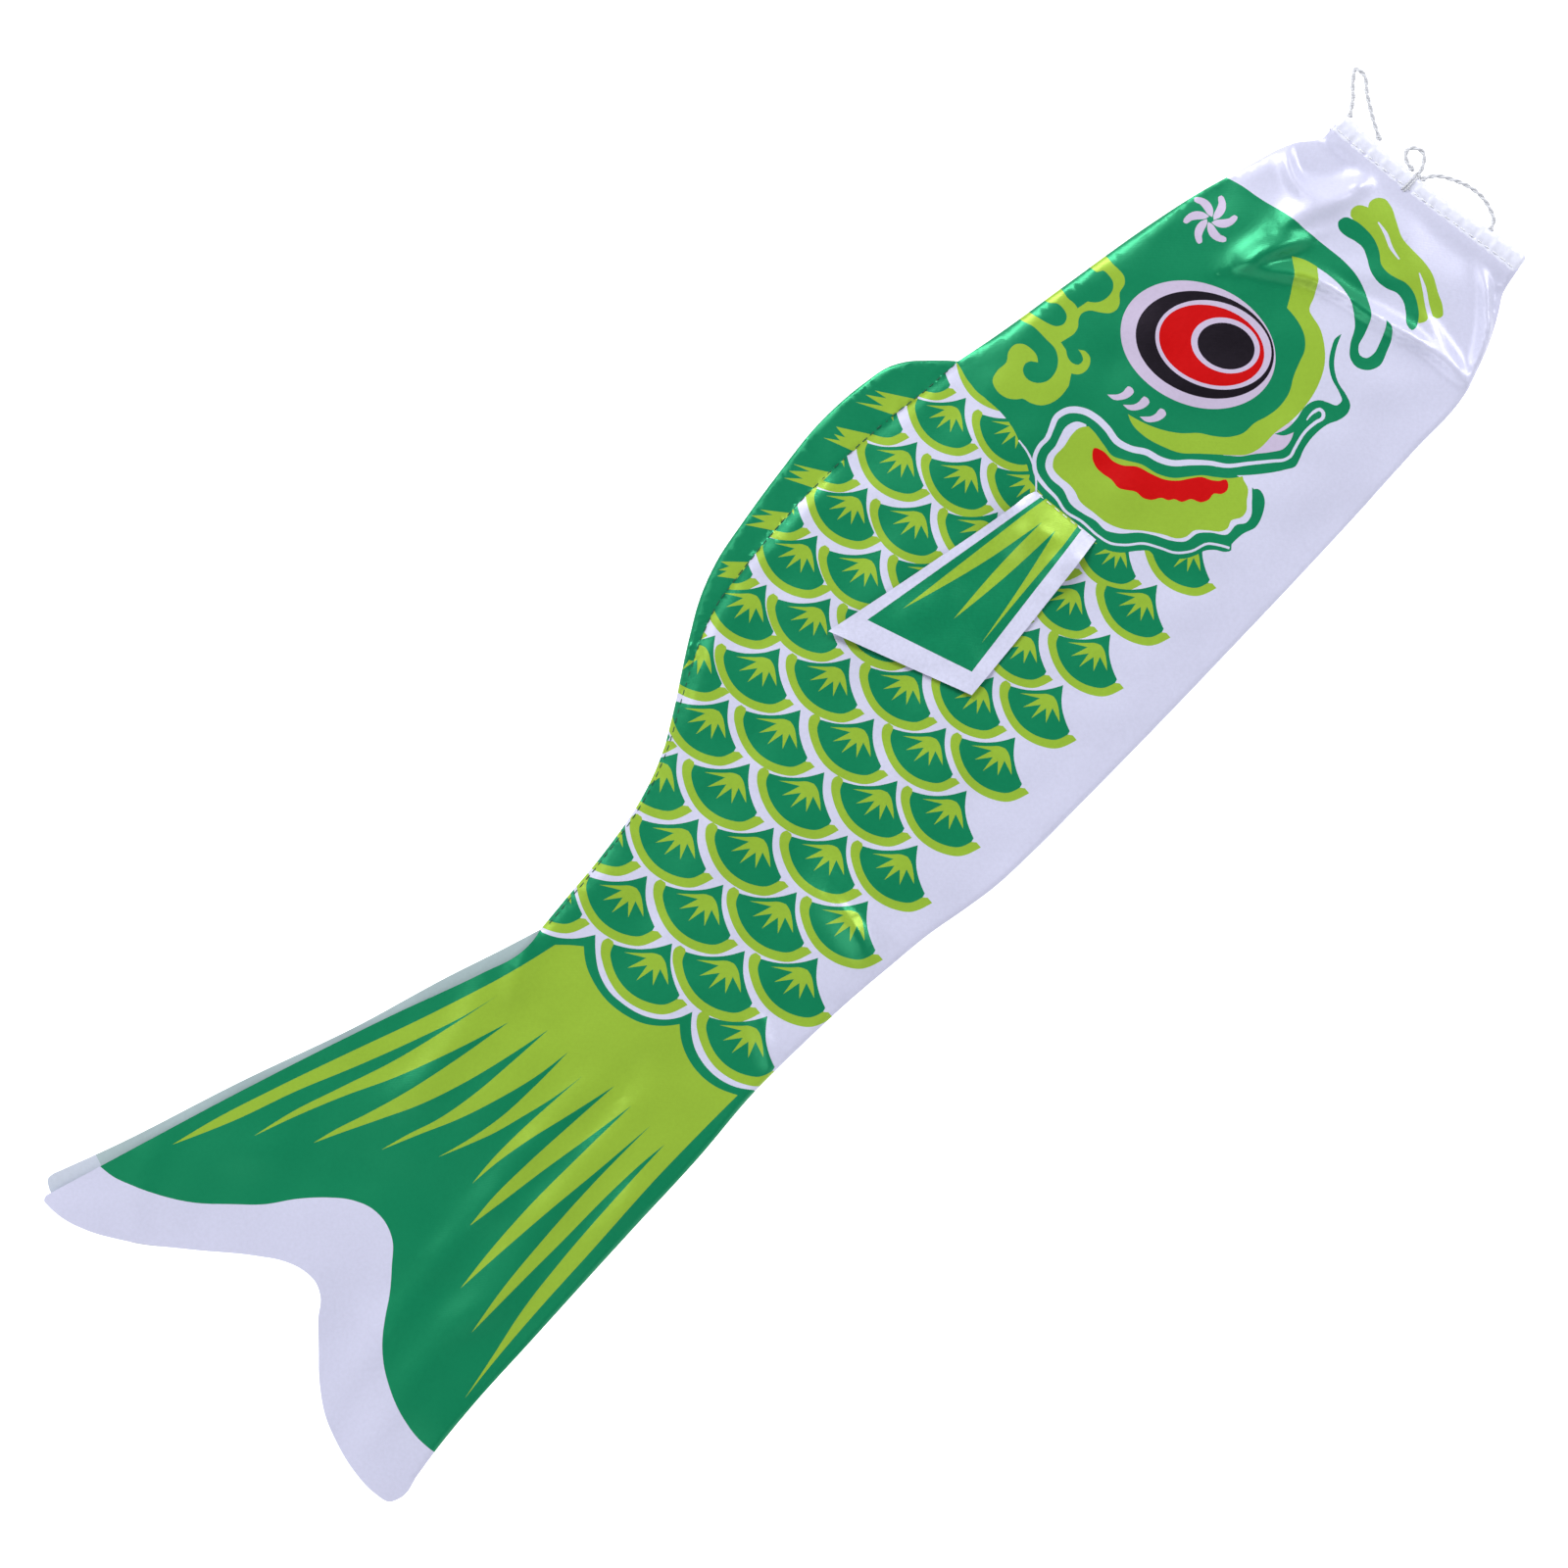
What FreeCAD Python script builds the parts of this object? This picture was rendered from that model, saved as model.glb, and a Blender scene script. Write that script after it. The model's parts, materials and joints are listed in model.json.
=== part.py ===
"""Carp streamer: a printed satin wind tube in the shape of a fish, laid flat.

Frame, in millimetres: the origin is the middle of the mouth, on the plane where the two
cloth layers meet. +X runs out of the mouth, +Y towards the fish's back and +Z up through
the layers. The fish's right side is the upper layer (+Z) and its left side the lower (-Z).

The tube is one cloth, folded along the belly and sewn along the back. Behind the stalk its
back edge is open, so the tail is two loose layers. A plastic strap hoop, creased flat at both
ends, stiffens the hemmed mouth. A thin cord bridle is tied to the hem. Cloth can't bend in a
rigid model, so the tube is cut at its two bend lines and the hoop at its two creases.
"""
import FreeCAD
import Part

import math
import os

from FreeCAD import Vector

# --- driving dimensions -----------------------------------------------------------------
CLOTH = 0.6            # thickness that stands for one cloth layer
PANEL_TOP = 1.6        # outer face of a side panel above the middle plane
TAIL_GAP = 0.4         # inner face of a tail layer above the middle plane
FOLD_RIM = 1.2         # width of the folded belly edge
SEAM_RIM = 1.6         # width of the sewn edge behind the back fin
SEAM_INSET = 0.8       # width of the sewn edge along the head and under the back fin
FRONT_OPEN_X = 20.0    # a station in front of everything
REAR_END_X = -600.0    # a station behind everything

BODY_BEND_X = -280.0   # where the tube bends at the middle of the body
TAIL_BEND_X = -385.0   # where the tube bends at the tail stalk
BEND_GAP = 4.0         # free length between two rigid sections at a bend

HEM_WIDTH = 6.4        # mouth hem along the tube
HEM_WALL = 0.5
HEM_IN = 0.7           # inner face of the hem above the middle plane
HEM_OUT = 2.7          # outer face of the hem above the middle plane
HEM_CLEAR = 0.3        # free length between the hem and the cloth behind it
STRAP_WIDTH = 5.0
STRAP_THICK = 0.8
STRAP_CREASE = 1.2     # how far a creased end of the strap stands past the hem
STRAP_SPLIT = 0.05     # half the gap between the strap's halves at a crease

THREAD_R = 0.2
STITCH_PITCH = 3.0
STITCH_LENGTH = 2.2

CORD_R = 0.5
BRIDLE_Z = (HEM_IN + HEM_OUT) / 2
BRIDLE_OUT = 1.3       # swing axis of the bridle in front of the hem
TIE_AT = 44.5          # centre tie, along the mouth from the belly end
TIE_CORD = 0.6         # side of the tie's square cord
TIE_ROOM = 0.05        # clearance between the tie and the hem
TIE_SPACE = 1.7        # length kept free of stitches and cloth on each side of the tie

FIN_Z = 2.1            # inner face of a breast fin above the middle plane
FIN_CLEAR = 1.6        # from the fin's sewn line, which it swings about, to its stiff part

# --- outlines, seen from above: back edge, belly edge and seam, from mouth to tail ---------
MOUTH_BACK = (-4.0, 37.0)
MOUTH_BELLY = (4.2, -36.5)

BACK_HEAD = [(-10.4, 37.2), (-14, 37), (-21, 42.5), (-43, 50), (-75, 59), (-120, 66.5), (-145, 71.5)]
BACK_FIN = [(-145, 71.5), (-155, 79.5), (-168, 88), (-193, 90.8), (-220, 88.8), (-245, 84.8), (-265, 78.3)]
BACK_STALK = [(-265, 78.3), (-285, 65.8), (-305, 54.2), (-325, 47), (-350, 43.4), (-376, 41.2), (-386, 41.3)]
BACK_TAIL = [(-386, 41.3), (-410, 49.5), (-480, 74.2), (-532, 91.5), (-548, 97.2)]
TAIL_TIP_BACK = [(-548, 97.2), (-552.6, 96), (-553, 90), (-548, 78)]
FORK = [(-548, 78), (-530, 50), (-514, 28), (-510, 17), (-516, 8), (-532, -9), (-543, -26), (-546.5, -44)]
TAIL_TIP_BELLY = [(-546.5, -44), (-545.6, -51), (-541, -54.3), (-535, -53.8)]
BELLY_TAIL = [(-535, -53.8), (-515, -51), (-470, -49.2), (-420, -48), (-386, -46)]
BELLY_BODY = [(-386, -46), (-340, -46), (-305, -49), (-265, -55.3), (-225, -56.7), (-150, -56.8), (-40, -54.6)]
BELLY_HEAD = [(-40, -54.6), (-28, -50), (-14, -42), (-2.2, -38.2)]

BACK_SEAM = [(-149, 72), (-175, 75.5), (-212, 78), (-245, 76), (-268, 70.5), (-290, 61)]
LOWER_LAYER_PAST = 3.4     # how far the lower tail layer stands past the upper one at the back edge

# breast fin: sewn line at the gill, then its free corners
FIN_ROOT = ((-161.5, 24.8), (-159.6, -0.6))
FIN_CORNERS = ((-242.0, 41.5), (-225.0, -6.5))


# --- small helpers ------------------------------------------------------------------------
def vec(point, z=0.0):
    """A plan point (x, y) lifted to height z."""
    return Vector(point[0], point[1], z)


def curve(points):
    """A smooth edge through plan points."""
    spline = Part.BSplineCurve()
    spline.interpolate([vec(p) for p in points])
    return spline.toShape()


def straight(a, b):
    """A straight edge between two plan points."""
    return Part.LineSegment(vec(a), vec(b)).toShape()


def plate(edges, low, high):
    """A flat plate between two heights, with closed edges as its outline."""
    face = Part.Face(Part.Wire(Part.__sortEdges__(edges)))
    face.translate(Vector(0, 0, low))
    return face.extrude(Vector(0, 0, high - low))


def slab(x_low, x_high):
    """Everything between two stations along the fish."""
    return Part.makeBox(x_high - x_low, 400, 40, Vector(x_low, -200, -20))


def below(shape):
    """The same shape mirrored through the middle plane, for the lower layer."""
    return shape.mirror(Vector(0, 0, 0), Vector(0, 0, 1))


def moved_in(points, distance):
    """Plan points moved sideways, to the left of their direction of travel."""
    result = []
    for i, point in enumerate(points):
        before, after = points[max(i - 1, 0)], points[min(i + 1, len(points) - 1)]
        dx, dy = after[0] - before[0], after[1] - before[1]
        length = math.hypot(dx, dy)
        result.append((point[0] - dy / length * distance, point[1] + dx / length * distance))
    return result


def along(points, pitch):
    """Evenly spaced (point, direction) pairs along a smooth plan curve."""
    edge = curve(points)
    count = int(edge.Length // pitch)
    for i in range(count):
        parameter = edge.getParameterByLength((i + 0.5) * edge.Length / count)
        yield edge.valueAt(parameter), edge.tangentAt(parameter)


def stitches(points, surface_z):
    """Thread stitches in a row: short rods that lie on a surface."""
    rods = []
    for middle, direction in along(points, STITCH_PITCH):
        start = middle - direction * (STITCH_LENGTH / 2) + Vector(0, 0, surface_z + THREAD_R)
        rods.append(Part.makeCylinder(THREAD_R, STITCH_LENGTH, start, direction))
    return Part.makeCompound(rods)


def cord(points, z, radius=CORD_R):
    """A round cord along a smooth plan curve at one height, with rounded ends."""
    path = curve(points)
    path.translate(Vector(0, 0, z))
    start = path.valueAt(path.FirstParameter)
    profile = Part.Wire(Part.makeCircle(radius, start, path.tangentAt(path.FirstParameter)))
    tube = Part.Wire(path).makePipeShell([profile], True, False)
    balls = [Part.makeSphere(radius, vec(points[i], z)) for i in (0, -1)]
    return tube.fuse(balls).removeSplitter()


# --- the mouth ------------------------------------------------------------------------------
MOUTH_LENGTH = math.hypot(MOUTH_BACK[0] - MOUTH_BELLY[0], MOUTH_BACK[1] - MOUTH_BELLY[1])
MOUTH_TILT = math.degrees(math.atan2(MOUTH_BELLY[0] - MOUTH_BACK[0], MOUTH_BACK[1] - MOUTH_BELLY[1]))


def at_mouth(shape):
    """Places a shape drawn with the mouth line on the Y axis, belly end at y = 0."""
    shape.rotate(Vector(0, 0, 0), Vector(0, 0, 1), MOUTH_TILT)
    shape.translate(vec(MOUTH_BELLY))
    return shape


def mouth_point(out, along_mouth):
    """The plan point a distance in front of the mouth line, and along it from the belly end."""
    turn = math.radians(MOUTH_TILT)
    return (
        MOUTH_BELLY[0] + out * math.cos(turn) - along_mouth * math.sin(turn),
        MOUTH_BELLY[1] + out * math.sin(turn) + along_mouth * math.cos(turn),
    )


def mouth_hem():
    """Upper half of the hem: a flat sleeve round the strap, open at both ends."""
    sleeve = Part.makeBox(HEM_WIDTH, MOUTH_LENGTH, HEM_OUT - HEM_IN, Vector(-HEM_WIDTH, 0, HEM_IN))
    room = Part.makeBox(
        HEM_WIDTH - 2 * HEM_WALL,
        MOUTH_LENGTH,
        HEM_OUT - HEM_IN - 2 * HEM_WALL,
        Vector(HEM_WALL - HEM_WIDTH, 0, HEM_IN + HEM_WALL),
    )
    return at_mouth(sleeve.cut(room))


def hoop_half():
    """Upper half of the flattened strap hoop, with the creased bends just past the hem's ends."""
    middle = (HEM_IN + HEM_OUT) / 2
    back = (HEM_WIDTH - STRAP_WIDTH) / 2 - HEM_WIDTH
    length = MOUTH_LENGTH + 2 * STRAP_CREASE
    low = middle - STRAP_THICK / 2
    band = Part.makeBox(STRAP_WIDTH, length, STRAP_THICK, Vector(back, -STRAP_CREASE, low))
    for y in (-STRAP_CREASE, MOUTH_LENGTH + STRAP_CREASE - STRAP_THICK):
        bend = Part.makeBox(STRAP_WIDTH, STRAP_THICK, middle - STRAP_SPLIT, Vector(back, y, STRAP_SPLIT))
        band = band.fuse(bend)
    return at_mouth(band.removeSplitter())


def hem_stitches():
    """A row of stitches along the hem's inner edge, on its outer face, on both sides of the tie."""
    rods = []
    for low, high in ((1.5, TIE_AT - TIE_SPACE), (TIE_AT + TIE_SPACE, MOUTH_LENGTH - 1.5)):
        row = [mouth_point(HEM_WALL - HEM_WIDTH, y) for y in (low, (low + high) / 2, high)]
        rods += stitches(row, HEM_OUT).Solids
    return Part.makeCompound(rods)


# --- the tube ---------------------------------------------------------------------------------
def tail_edges(back, tip):
    """Edges of a tail, from its back edge round the tips and the fork to the belly fold."""
    return [curve(run) for run in (back, tip, FORK, TAIL_TIP_BELLY, BELLY_TAIL)]


def whole_side():
    """One whole side of the fish behind the hem, as a solid plate up to the side's outer face."""
    hem_line = -HEM_WIDTH - HEM_CLEAR
    hem_back, hem_belly = mouth_point(hem_line, MOUTH_LENGTH), mouth_point(hem_line, 0)
    edges = [curve(run) for run in (BACK_HEAD, BACK_FIN, BACK_STALK)]
    edges += tail_edges(BACK_TAIL, TAIL_TIP_BACK)
    edges += [curve(run) for run in (BELLY_BODY, BELLY_HEAD)]
    edges.append(straight(BELLY_HEAD[-1], hem_belly))
    edges.append(straight(hem_belly, hem_back))
    edges.append(straight(hem_back, BACK_HEAD[0]))
    return plate(edges, 0.0, PANEL_TOP)


def air_space():
    """Half of the space inside the tube, from the back seam to the belly fold."""
    seam_edge = moved_in(BACK_HEAD[:-1] + BACK_SEAM, SEAM_INSET)
    stalk_edge = [seam_edge[-1]] + moved_in(BACK_STALK, SEAM_RIM)[2:]
    belly_edge = moved_in(BELLY_BODY, FOLD_RIM) + moved_in(BELLY_HEAD, FOLD_RIM)[1:-1]
    front_belly, front_back = (FRONT_OPEN_X, belly_edge[-1][1]), (FRONT_OPEN_X, seam_edge[0][1])
    edges = [
        curve(seam_edge),
        curve(stalk_edge),
        straight(stalk_edge[-1], belly_edge[0]),
        curve(belly_edge),
        straight(belly_edge[-1], front_belly),
        straight(front_belly, front_back),
        straight(front_back, seam_edge[0]),
    ]
    return plate(edges, 0.0, PANEL_TOP - CLOTH)


def tube():
    """The whole flattened tube: both sides joined at the fold and the seam, hollow between."""
    side = whole_side().cut(air_space())
    return side.fuse(below(side)).removeSplitter()


def tie_notch():
    """Room behind the hem for the centre tie."""
    start = Vector(-HEM_WIDTH - HEM_CLEAR - TIE_CORD, TIE_AT - TIE_SPACE, 0)
    return at_mouth(Part.makeBox(TIE_CORD + HEM_CLEAR, 2 * TIE_SPACE, PANEL_TOP, start))


def tail_layer(edges):
    """One loose upper layer of the tail, behind the tail bend."""
    layer = plate(edges + [straight(BELLY_TAIL[-1], BACK_TAIL[0])], TAIL_GAP, TAIL_GAP + CLOTH)
    return layer.common(slab(REAR_END_X, TAIL_BEND_X - BEND_GAP / 2))


def lower_tail_layer():
    """The lower layer, whose back edge stands a little past the upper layer's."""
    root_x, grow = BACK_TAIL[0][0], 30.0
    back = [(x, y + LOWER_LAYER_PAST * min(1.0, (root_x - x) / grow)) for x, y in BACK_TAIL]
    tip = [back[-1], (-550.5, 97), (-549, 90), TAIL_TIP_BACK[-1]]
    return below(tail_layer(tail_edges(back, tip)))


def seam_stitches(x_low, x_high):
    """Back seam stitches on the upper side, between two stations."""
    row = BACK_SEAM[:-1] + moved_in(BACK_STALK, SEAM_RIM / 2)[1:-1]
    rods = stitches(row, PANEL_TOP).Solids
    return Part.makeCompound([r for r in rods if x_low < r.BoundBox.XMin and r.BoundBox.XMax < x_high])


# --- the breast fins ------------------------------------------------------------------------------
def breast_fin():
    """Upper breast fin: a flat trapezoid, clear of the sewn line it swings about."""
    sewn = [(x - FIN_CLEAR, y) for x, y in FIN_ROOT]
    corners = [sewn[0], FIN_CORNERS[0], FIN_CORNERS[1], sewn[1]]
    edges = [straight(corners[i], corners[(i + 1) % 4]) for i in range(4)]
    return plate(edges, FIN_Z, FIN_Z + CLOTH)


def fin_stitches():
    """The short row of stitches that holds a breast fin at the gill."""
    (ax, ay), (bx, by) = FIN_ROOT
    return stitches([(ax, ay), ((ax + bx) / 2, (ay + by) / 2), (bx, by)], PANEL_TOP)


# --- the bridle -------------------------------------------------------------------------------------
def bridle_back_loop():
    """Long loop tied at the back end of the hem: out to a point and home."""
    start, end = mouth_point(BRIDLE_OUT, 72.5), mouth_point(BRIDLE_OUT, 60)
    return cord([start, (2.2, 39), (6.6, 43.8), (9.6, 45), (10, 42.2), (6, 36), end], BRIDLE_Z)


def bridle_belly_arc():
    """Arc of cord from the centre tie to near the belly end."""
    start, end = mouth_point(BRIDLE_OUT, TIE_AT - 2.5), mouth_point(BRIDLE_OUT, 14)
    return cord([start, (4.5, 0.5), (7.6, -8), (7.4, -17), end], BRIDLE_Z)


def bridle_centre_loop():
    """Small loop standing out from the centre tie."""
    start, end = mouth_point(BRIDLE_OUT, TIE_AT + 3), mouth_point(BRIDLE_OUT, TIE_AT)
    return cord([start, (0.4, 13.6), (3, 14.4), (5, 11.5), (3.4, 8.8), end], BRIDLE_Z)


def centre_tie():
    """Two turns of cord round the upper hem, holding the bridle to the strap."""
    reach = TIE_CORD + TIE_ROOM
    turns = []
    for y in (TIE_AT - 1.0, TIE_AT - 0.2):
        outer = Part.makeBox(HEM_WIDTH + 2 * reach, TIE_CORD, HEM_OUT - HEM_IN + 2 * reach,
                             Vector(-HEM_WIDTH - reach, y, HEM_IN - reach))
        inner = Part.makeBox(HEM_WIDTH + 2 * TIE_ROOM, TIE_CORD, HEM_OUT - HEM_IN + 2 * TIE_ROOM,
                             Vector(-HEM_WIDTH - TIE_ROOM, y, HEM_IN - TIE_ROOM))
        turns.append(at_mouth(outer.cut(inner)))
    return Part.makeCompound(turns)


# --- assembly ------------------------------------------------------------------------------------------
def parts():
    """Every node by name."""
    front = (BODY_BEND_X + BEND_GAP / 2, FRONT_OPEN_X)
    rear = (TAIL_BEND_X + BEND_GAP / 2, BODY_BEND_X - BEND_GAP / 2)
    whole = tube()
    nodes = {
        "body_tube_front": whole.common(slab(*front)).cut(tie_notch()),
        "body_tube_rear": whole.common(slab(*rear)),
        "right_tail_layer": tail_layer(tail_edges(BACK_TAIL, TAIL_TIP_BACK)),
        "left_tail_layer": lower_tail_layer(),
        "bridle_back_loop": bridle_back_loop(),
        "bridle_belly_arc": bridle_belly_arc(),
        "bridle_centre_loop": bridle_centre_loop(),
        "bridle_centre_tie": centre_tie(),
    }
    both_sides = {
        "breast_fin": breast_fin(),
        "fin_stitches": fin_stitches(),
        "back_seam_stitches_front": seam_stitches(*front),
        "back_seam_stitches_rear": seam_stitches(*rear),
        "mouth_hem": mouth_hem(),
        "mouth_hoop_strap": hoop_half(),
        "mouth_hem_stitches": hem_stitches(),
    }
    for name, shape in both_sides.items():
        nodes["right_" + name] = shape
        nodes["left_" + name] = below(shape)
    return nodes


def main():
    os.makedirs("parts", exist_ok=True)
    for name, shape in parts().items():
        shape.exportStep(os.path.join("parts", name + ".step"))


main()
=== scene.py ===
"""Carp streamer: what it looks like, laid flat and seen from above.

Plan points are in millimetres in the row frame: +X runs out of the mouth, +Y towards the
fish's back, +Z up. Each cloth layer is one plan mesh cut along the edges of its print, so
every patch of ink is its own faces, and a height function gives it folds and seams.
"""

import json
import math

import bpy
import numpy as np
from mathutils import Vector, kdtree
from mathutils.geometry import delaunay_2d_cdt
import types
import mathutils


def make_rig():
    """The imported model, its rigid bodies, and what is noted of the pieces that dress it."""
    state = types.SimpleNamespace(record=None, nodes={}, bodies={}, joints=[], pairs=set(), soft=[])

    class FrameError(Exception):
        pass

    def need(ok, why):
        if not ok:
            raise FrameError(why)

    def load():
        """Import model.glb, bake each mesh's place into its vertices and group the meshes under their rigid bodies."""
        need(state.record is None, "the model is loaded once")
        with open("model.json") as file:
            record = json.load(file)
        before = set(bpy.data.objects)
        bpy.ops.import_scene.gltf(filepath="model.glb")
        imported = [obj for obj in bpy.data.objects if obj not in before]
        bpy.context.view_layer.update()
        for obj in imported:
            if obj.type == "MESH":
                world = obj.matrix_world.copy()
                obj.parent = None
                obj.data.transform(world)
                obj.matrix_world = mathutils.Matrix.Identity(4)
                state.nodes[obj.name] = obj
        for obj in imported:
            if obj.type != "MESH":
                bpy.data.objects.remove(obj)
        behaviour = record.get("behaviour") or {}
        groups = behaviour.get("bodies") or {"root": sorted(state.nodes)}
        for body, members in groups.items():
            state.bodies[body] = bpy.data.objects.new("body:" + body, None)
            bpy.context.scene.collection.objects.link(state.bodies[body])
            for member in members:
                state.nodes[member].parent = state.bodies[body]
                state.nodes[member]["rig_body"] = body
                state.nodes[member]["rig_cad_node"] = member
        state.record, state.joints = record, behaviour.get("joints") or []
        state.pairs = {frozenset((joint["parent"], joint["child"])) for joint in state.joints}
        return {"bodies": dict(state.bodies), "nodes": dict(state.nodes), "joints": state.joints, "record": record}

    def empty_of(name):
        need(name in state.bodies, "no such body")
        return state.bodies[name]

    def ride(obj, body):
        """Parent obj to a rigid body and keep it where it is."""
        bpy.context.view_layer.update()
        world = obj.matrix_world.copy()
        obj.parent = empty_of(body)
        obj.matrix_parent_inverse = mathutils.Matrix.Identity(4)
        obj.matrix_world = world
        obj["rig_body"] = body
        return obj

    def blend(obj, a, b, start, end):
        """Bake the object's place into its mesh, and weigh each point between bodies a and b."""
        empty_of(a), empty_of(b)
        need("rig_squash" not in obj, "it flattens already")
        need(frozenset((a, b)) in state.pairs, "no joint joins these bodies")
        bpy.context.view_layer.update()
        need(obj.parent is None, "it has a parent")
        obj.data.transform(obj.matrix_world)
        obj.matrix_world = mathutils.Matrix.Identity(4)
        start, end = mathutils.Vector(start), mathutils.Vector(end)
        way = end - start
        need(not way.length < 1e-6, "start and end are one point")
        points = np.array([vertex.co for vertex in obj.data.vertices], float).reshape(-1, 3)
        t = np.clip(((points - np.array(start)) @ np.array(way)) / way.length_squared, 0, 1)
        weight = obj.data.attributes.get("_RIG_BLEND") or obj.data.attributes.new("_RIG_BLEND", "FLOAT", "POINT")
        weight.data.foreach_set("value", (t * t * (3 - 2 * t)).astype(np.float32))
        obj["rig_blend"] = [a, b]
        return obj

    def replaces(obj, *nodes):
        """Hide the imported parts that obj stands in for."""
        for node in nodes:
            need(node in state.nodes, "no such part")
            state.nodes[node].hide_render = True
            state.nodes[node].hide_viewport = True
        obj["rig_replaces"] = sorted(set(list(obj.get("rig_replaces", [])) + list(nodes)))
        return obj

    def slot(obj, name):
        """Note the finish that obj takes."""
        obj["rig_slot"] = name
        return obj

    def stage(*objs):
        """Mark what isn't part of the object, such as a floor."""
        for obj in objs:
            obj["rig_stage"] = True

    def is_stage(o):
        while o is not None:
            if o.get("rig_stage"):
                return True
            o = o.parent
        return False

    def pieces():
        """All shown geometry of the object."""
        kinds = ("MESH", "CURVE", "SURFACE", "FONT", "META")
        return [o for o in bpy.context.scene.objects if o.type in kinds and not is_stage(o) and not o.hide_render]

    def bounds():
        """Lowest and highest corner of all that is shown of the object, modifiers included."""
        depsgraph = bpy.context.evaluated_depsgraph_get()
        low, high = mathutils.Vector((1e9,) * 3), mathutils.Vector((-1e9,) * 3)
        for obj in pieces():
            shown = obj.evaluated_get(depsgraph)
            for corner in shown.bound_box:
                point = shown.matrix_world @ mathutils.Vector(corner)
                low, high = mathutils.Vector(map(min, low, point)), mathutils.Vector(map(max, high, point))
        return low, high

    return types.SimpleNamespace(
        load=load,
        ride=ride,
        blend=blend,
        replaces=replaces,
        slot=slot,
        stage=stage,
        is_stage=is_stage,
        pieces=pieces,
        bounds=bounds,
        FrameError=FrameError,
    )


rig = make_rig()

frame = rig.load()
cad_low, cad_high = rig.bounds()

MM = 0.001
PRINT_STEP = 1.2       # spacing of points along printed edges
CLOTH_T = 0.22         # cloth thickness


# --- plan curves ------------------------------------------------------------------------
def smooth(points, closed=False, step=PRINT_STEP):
    """A smooth line through plan points, as closely spaced points."""
    p = np.array(points, float)
    if closed:
        p = np.vstack([p, p[:1]])
    gap = np.diff(p, axis=0)
    size = np.linalg.norm(gap, axis=1)[:, None]
    slope = gap / size
    tangent = np.vstack([slope[:1], slope[-1:]]) if len(p) == 2 else np.empty_like(p)
    if len(p) > 2:
        tangent[1:-1] = (slope[:-1] * size[1:] + slope[1:] * size[:-1]) / (size[:-1] + size[1:])
        tangent[0] = 1.5 * slope[0] - 0.5 * tangent[1]
        tangent[-1] = 1.5 * slope[-1] - 0.5 * tangent[-2]
        if closed:
            tangent[0] = (slope[-1] * size[0] + slope[0] * size[-1]) / (size[0] + size[-1])
            tangent[-1] = tangent[0]
    result = [p[:1]]
    for i in range(len(gap)):
        count = max(1, math.ceil(size[i, 0] / step))
        t = (np.arange(1, count + 1) / count)[:, None]
        start = (2 * t**3 - 3 * t**2 + 1) * p[i] + (t**3 - 2 * t**2 + t) * size[i] * tangent[i]
        end = (3 * t**2 - 2 * t**3) * p[i + 1] + (t**3 - t**2) * size[i] * tangent[i + 1]
        result.append(start + end)
    line = np.vstack(result)
    return line[:-1] if closed else line


def outline(*runs):
    """A closed outline of smooth runs. Each starts where the last one ended, at a corner."""
    last = runs[-1][-1]
    result = []
    for run in runs:
        result.append(smooth([last] + list(run))[1:])
        last = run[-1]
    return np.vstack(result)


def along(line):
    """Distance along a line of points, at each of them."""
    return np.concatenate([[0], np.cumsum(np.linalg.norm(np.diff(line, axis=0), axis=1))])


def ribbon(stations):
    """The outline of a line of changing width, from (x, y, width) stations."""
    path = smooth([s[:2] for s in stations])
    place = np.linspace(0, len(stations) - 1, len(path))
    half = np.interp(place, range(len(stations)), [s[2] / 2 for s in stations])[:, None]
    way = np.gradient(path, axis=0)
    way /= np.linalg.norm(way, axis=1)[:, None]
    side = np.column_stack([-way[:, 1], way[:, 0]]) * half
    return np.vstack([path + side, (path - side)[::-1]])


def leaning_oval(cx, cy, half_x, half_y, lean):
    """An oval that leans, so that its highest point is off its centre."""
    count = math.ceil(2 * math.pi * half_y / PRINT_STEP)
    t = np.arange(count) / count * 2 * math.pi
    x = cx + half_x * np.cos(t)
    y = cy - lean * np.cos(t) + math.sqrt(half_y**2 - lean**2) * np.sin(t)
    return np.column_stack([x, y])


def placed(points, at, scale=1.0, turn=0.0):
    """Plan points scaled, turned by some degrees and moved."""
    c, s = math.cos(math.radians(turn)) * scale, math.sin(math.radians(turn)) * scale
    return [(at[0] + c * x - s * y, at[1] + s * x + c * y) for x, y in points]


def inside(points, loop):
    """Which plan points lie inside a closed outline."""
    result = np.zeros(len(points), bool)
    low, high = loop.min(axis=0), loop.max(axis=0)
    near = np.nonzero(((points > low) & (points < high)).all(axis=1))[0]
    x, y = points[near].T
    odd = np.zeros(len(near), bool)
    for (ax, ay), (bx, by) in zip(loop, np.roll(loop, -1, axis=0)):
        if ay != by:
            odd ^= ((ay > y) != (by > y)) & (x < (bx - ax) * (y - ay) / (by - ay) + ax)
    result[near] = odd
    return result


def distance(points, line):
    """Distance from plan points to an open line of points."""
    a, way = line[:-1], np.diff(line, axis=0)
    size = np.maximum((way * way).sum(axis=1), 1e-12)
    tree = kdtree.KDTree(len(a))
    middle = a + way / 2
    for i, p in enumerate(middle):
        tree.insert((p[0], p[1], 0), i)
    tree.balance()
    near = np.array([[hit[1] for hit in tree.find_n((p[0], p[1], 0), 4)] for p in points])
    best = np.full(len(points), 1e9)
    for k in range(near.shape[1]):
        i = near[:, k]
        off = points - a[i]
        t = np.clip((off * way[i]).sum(axis=1) / size[i], 0, 1)
        off = off - t[:, None] * way[i]
        best = np.minimum(best, np.hypot(off[:, 0], off[:, 1]))
    return best


def ease(x, start, end):
    """0 before start, 1 after end, smooth between."""
    t = np.clip((x - start) / (end - start), 0, 1)
    return t * t * (3 - 2 * t)


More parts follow.
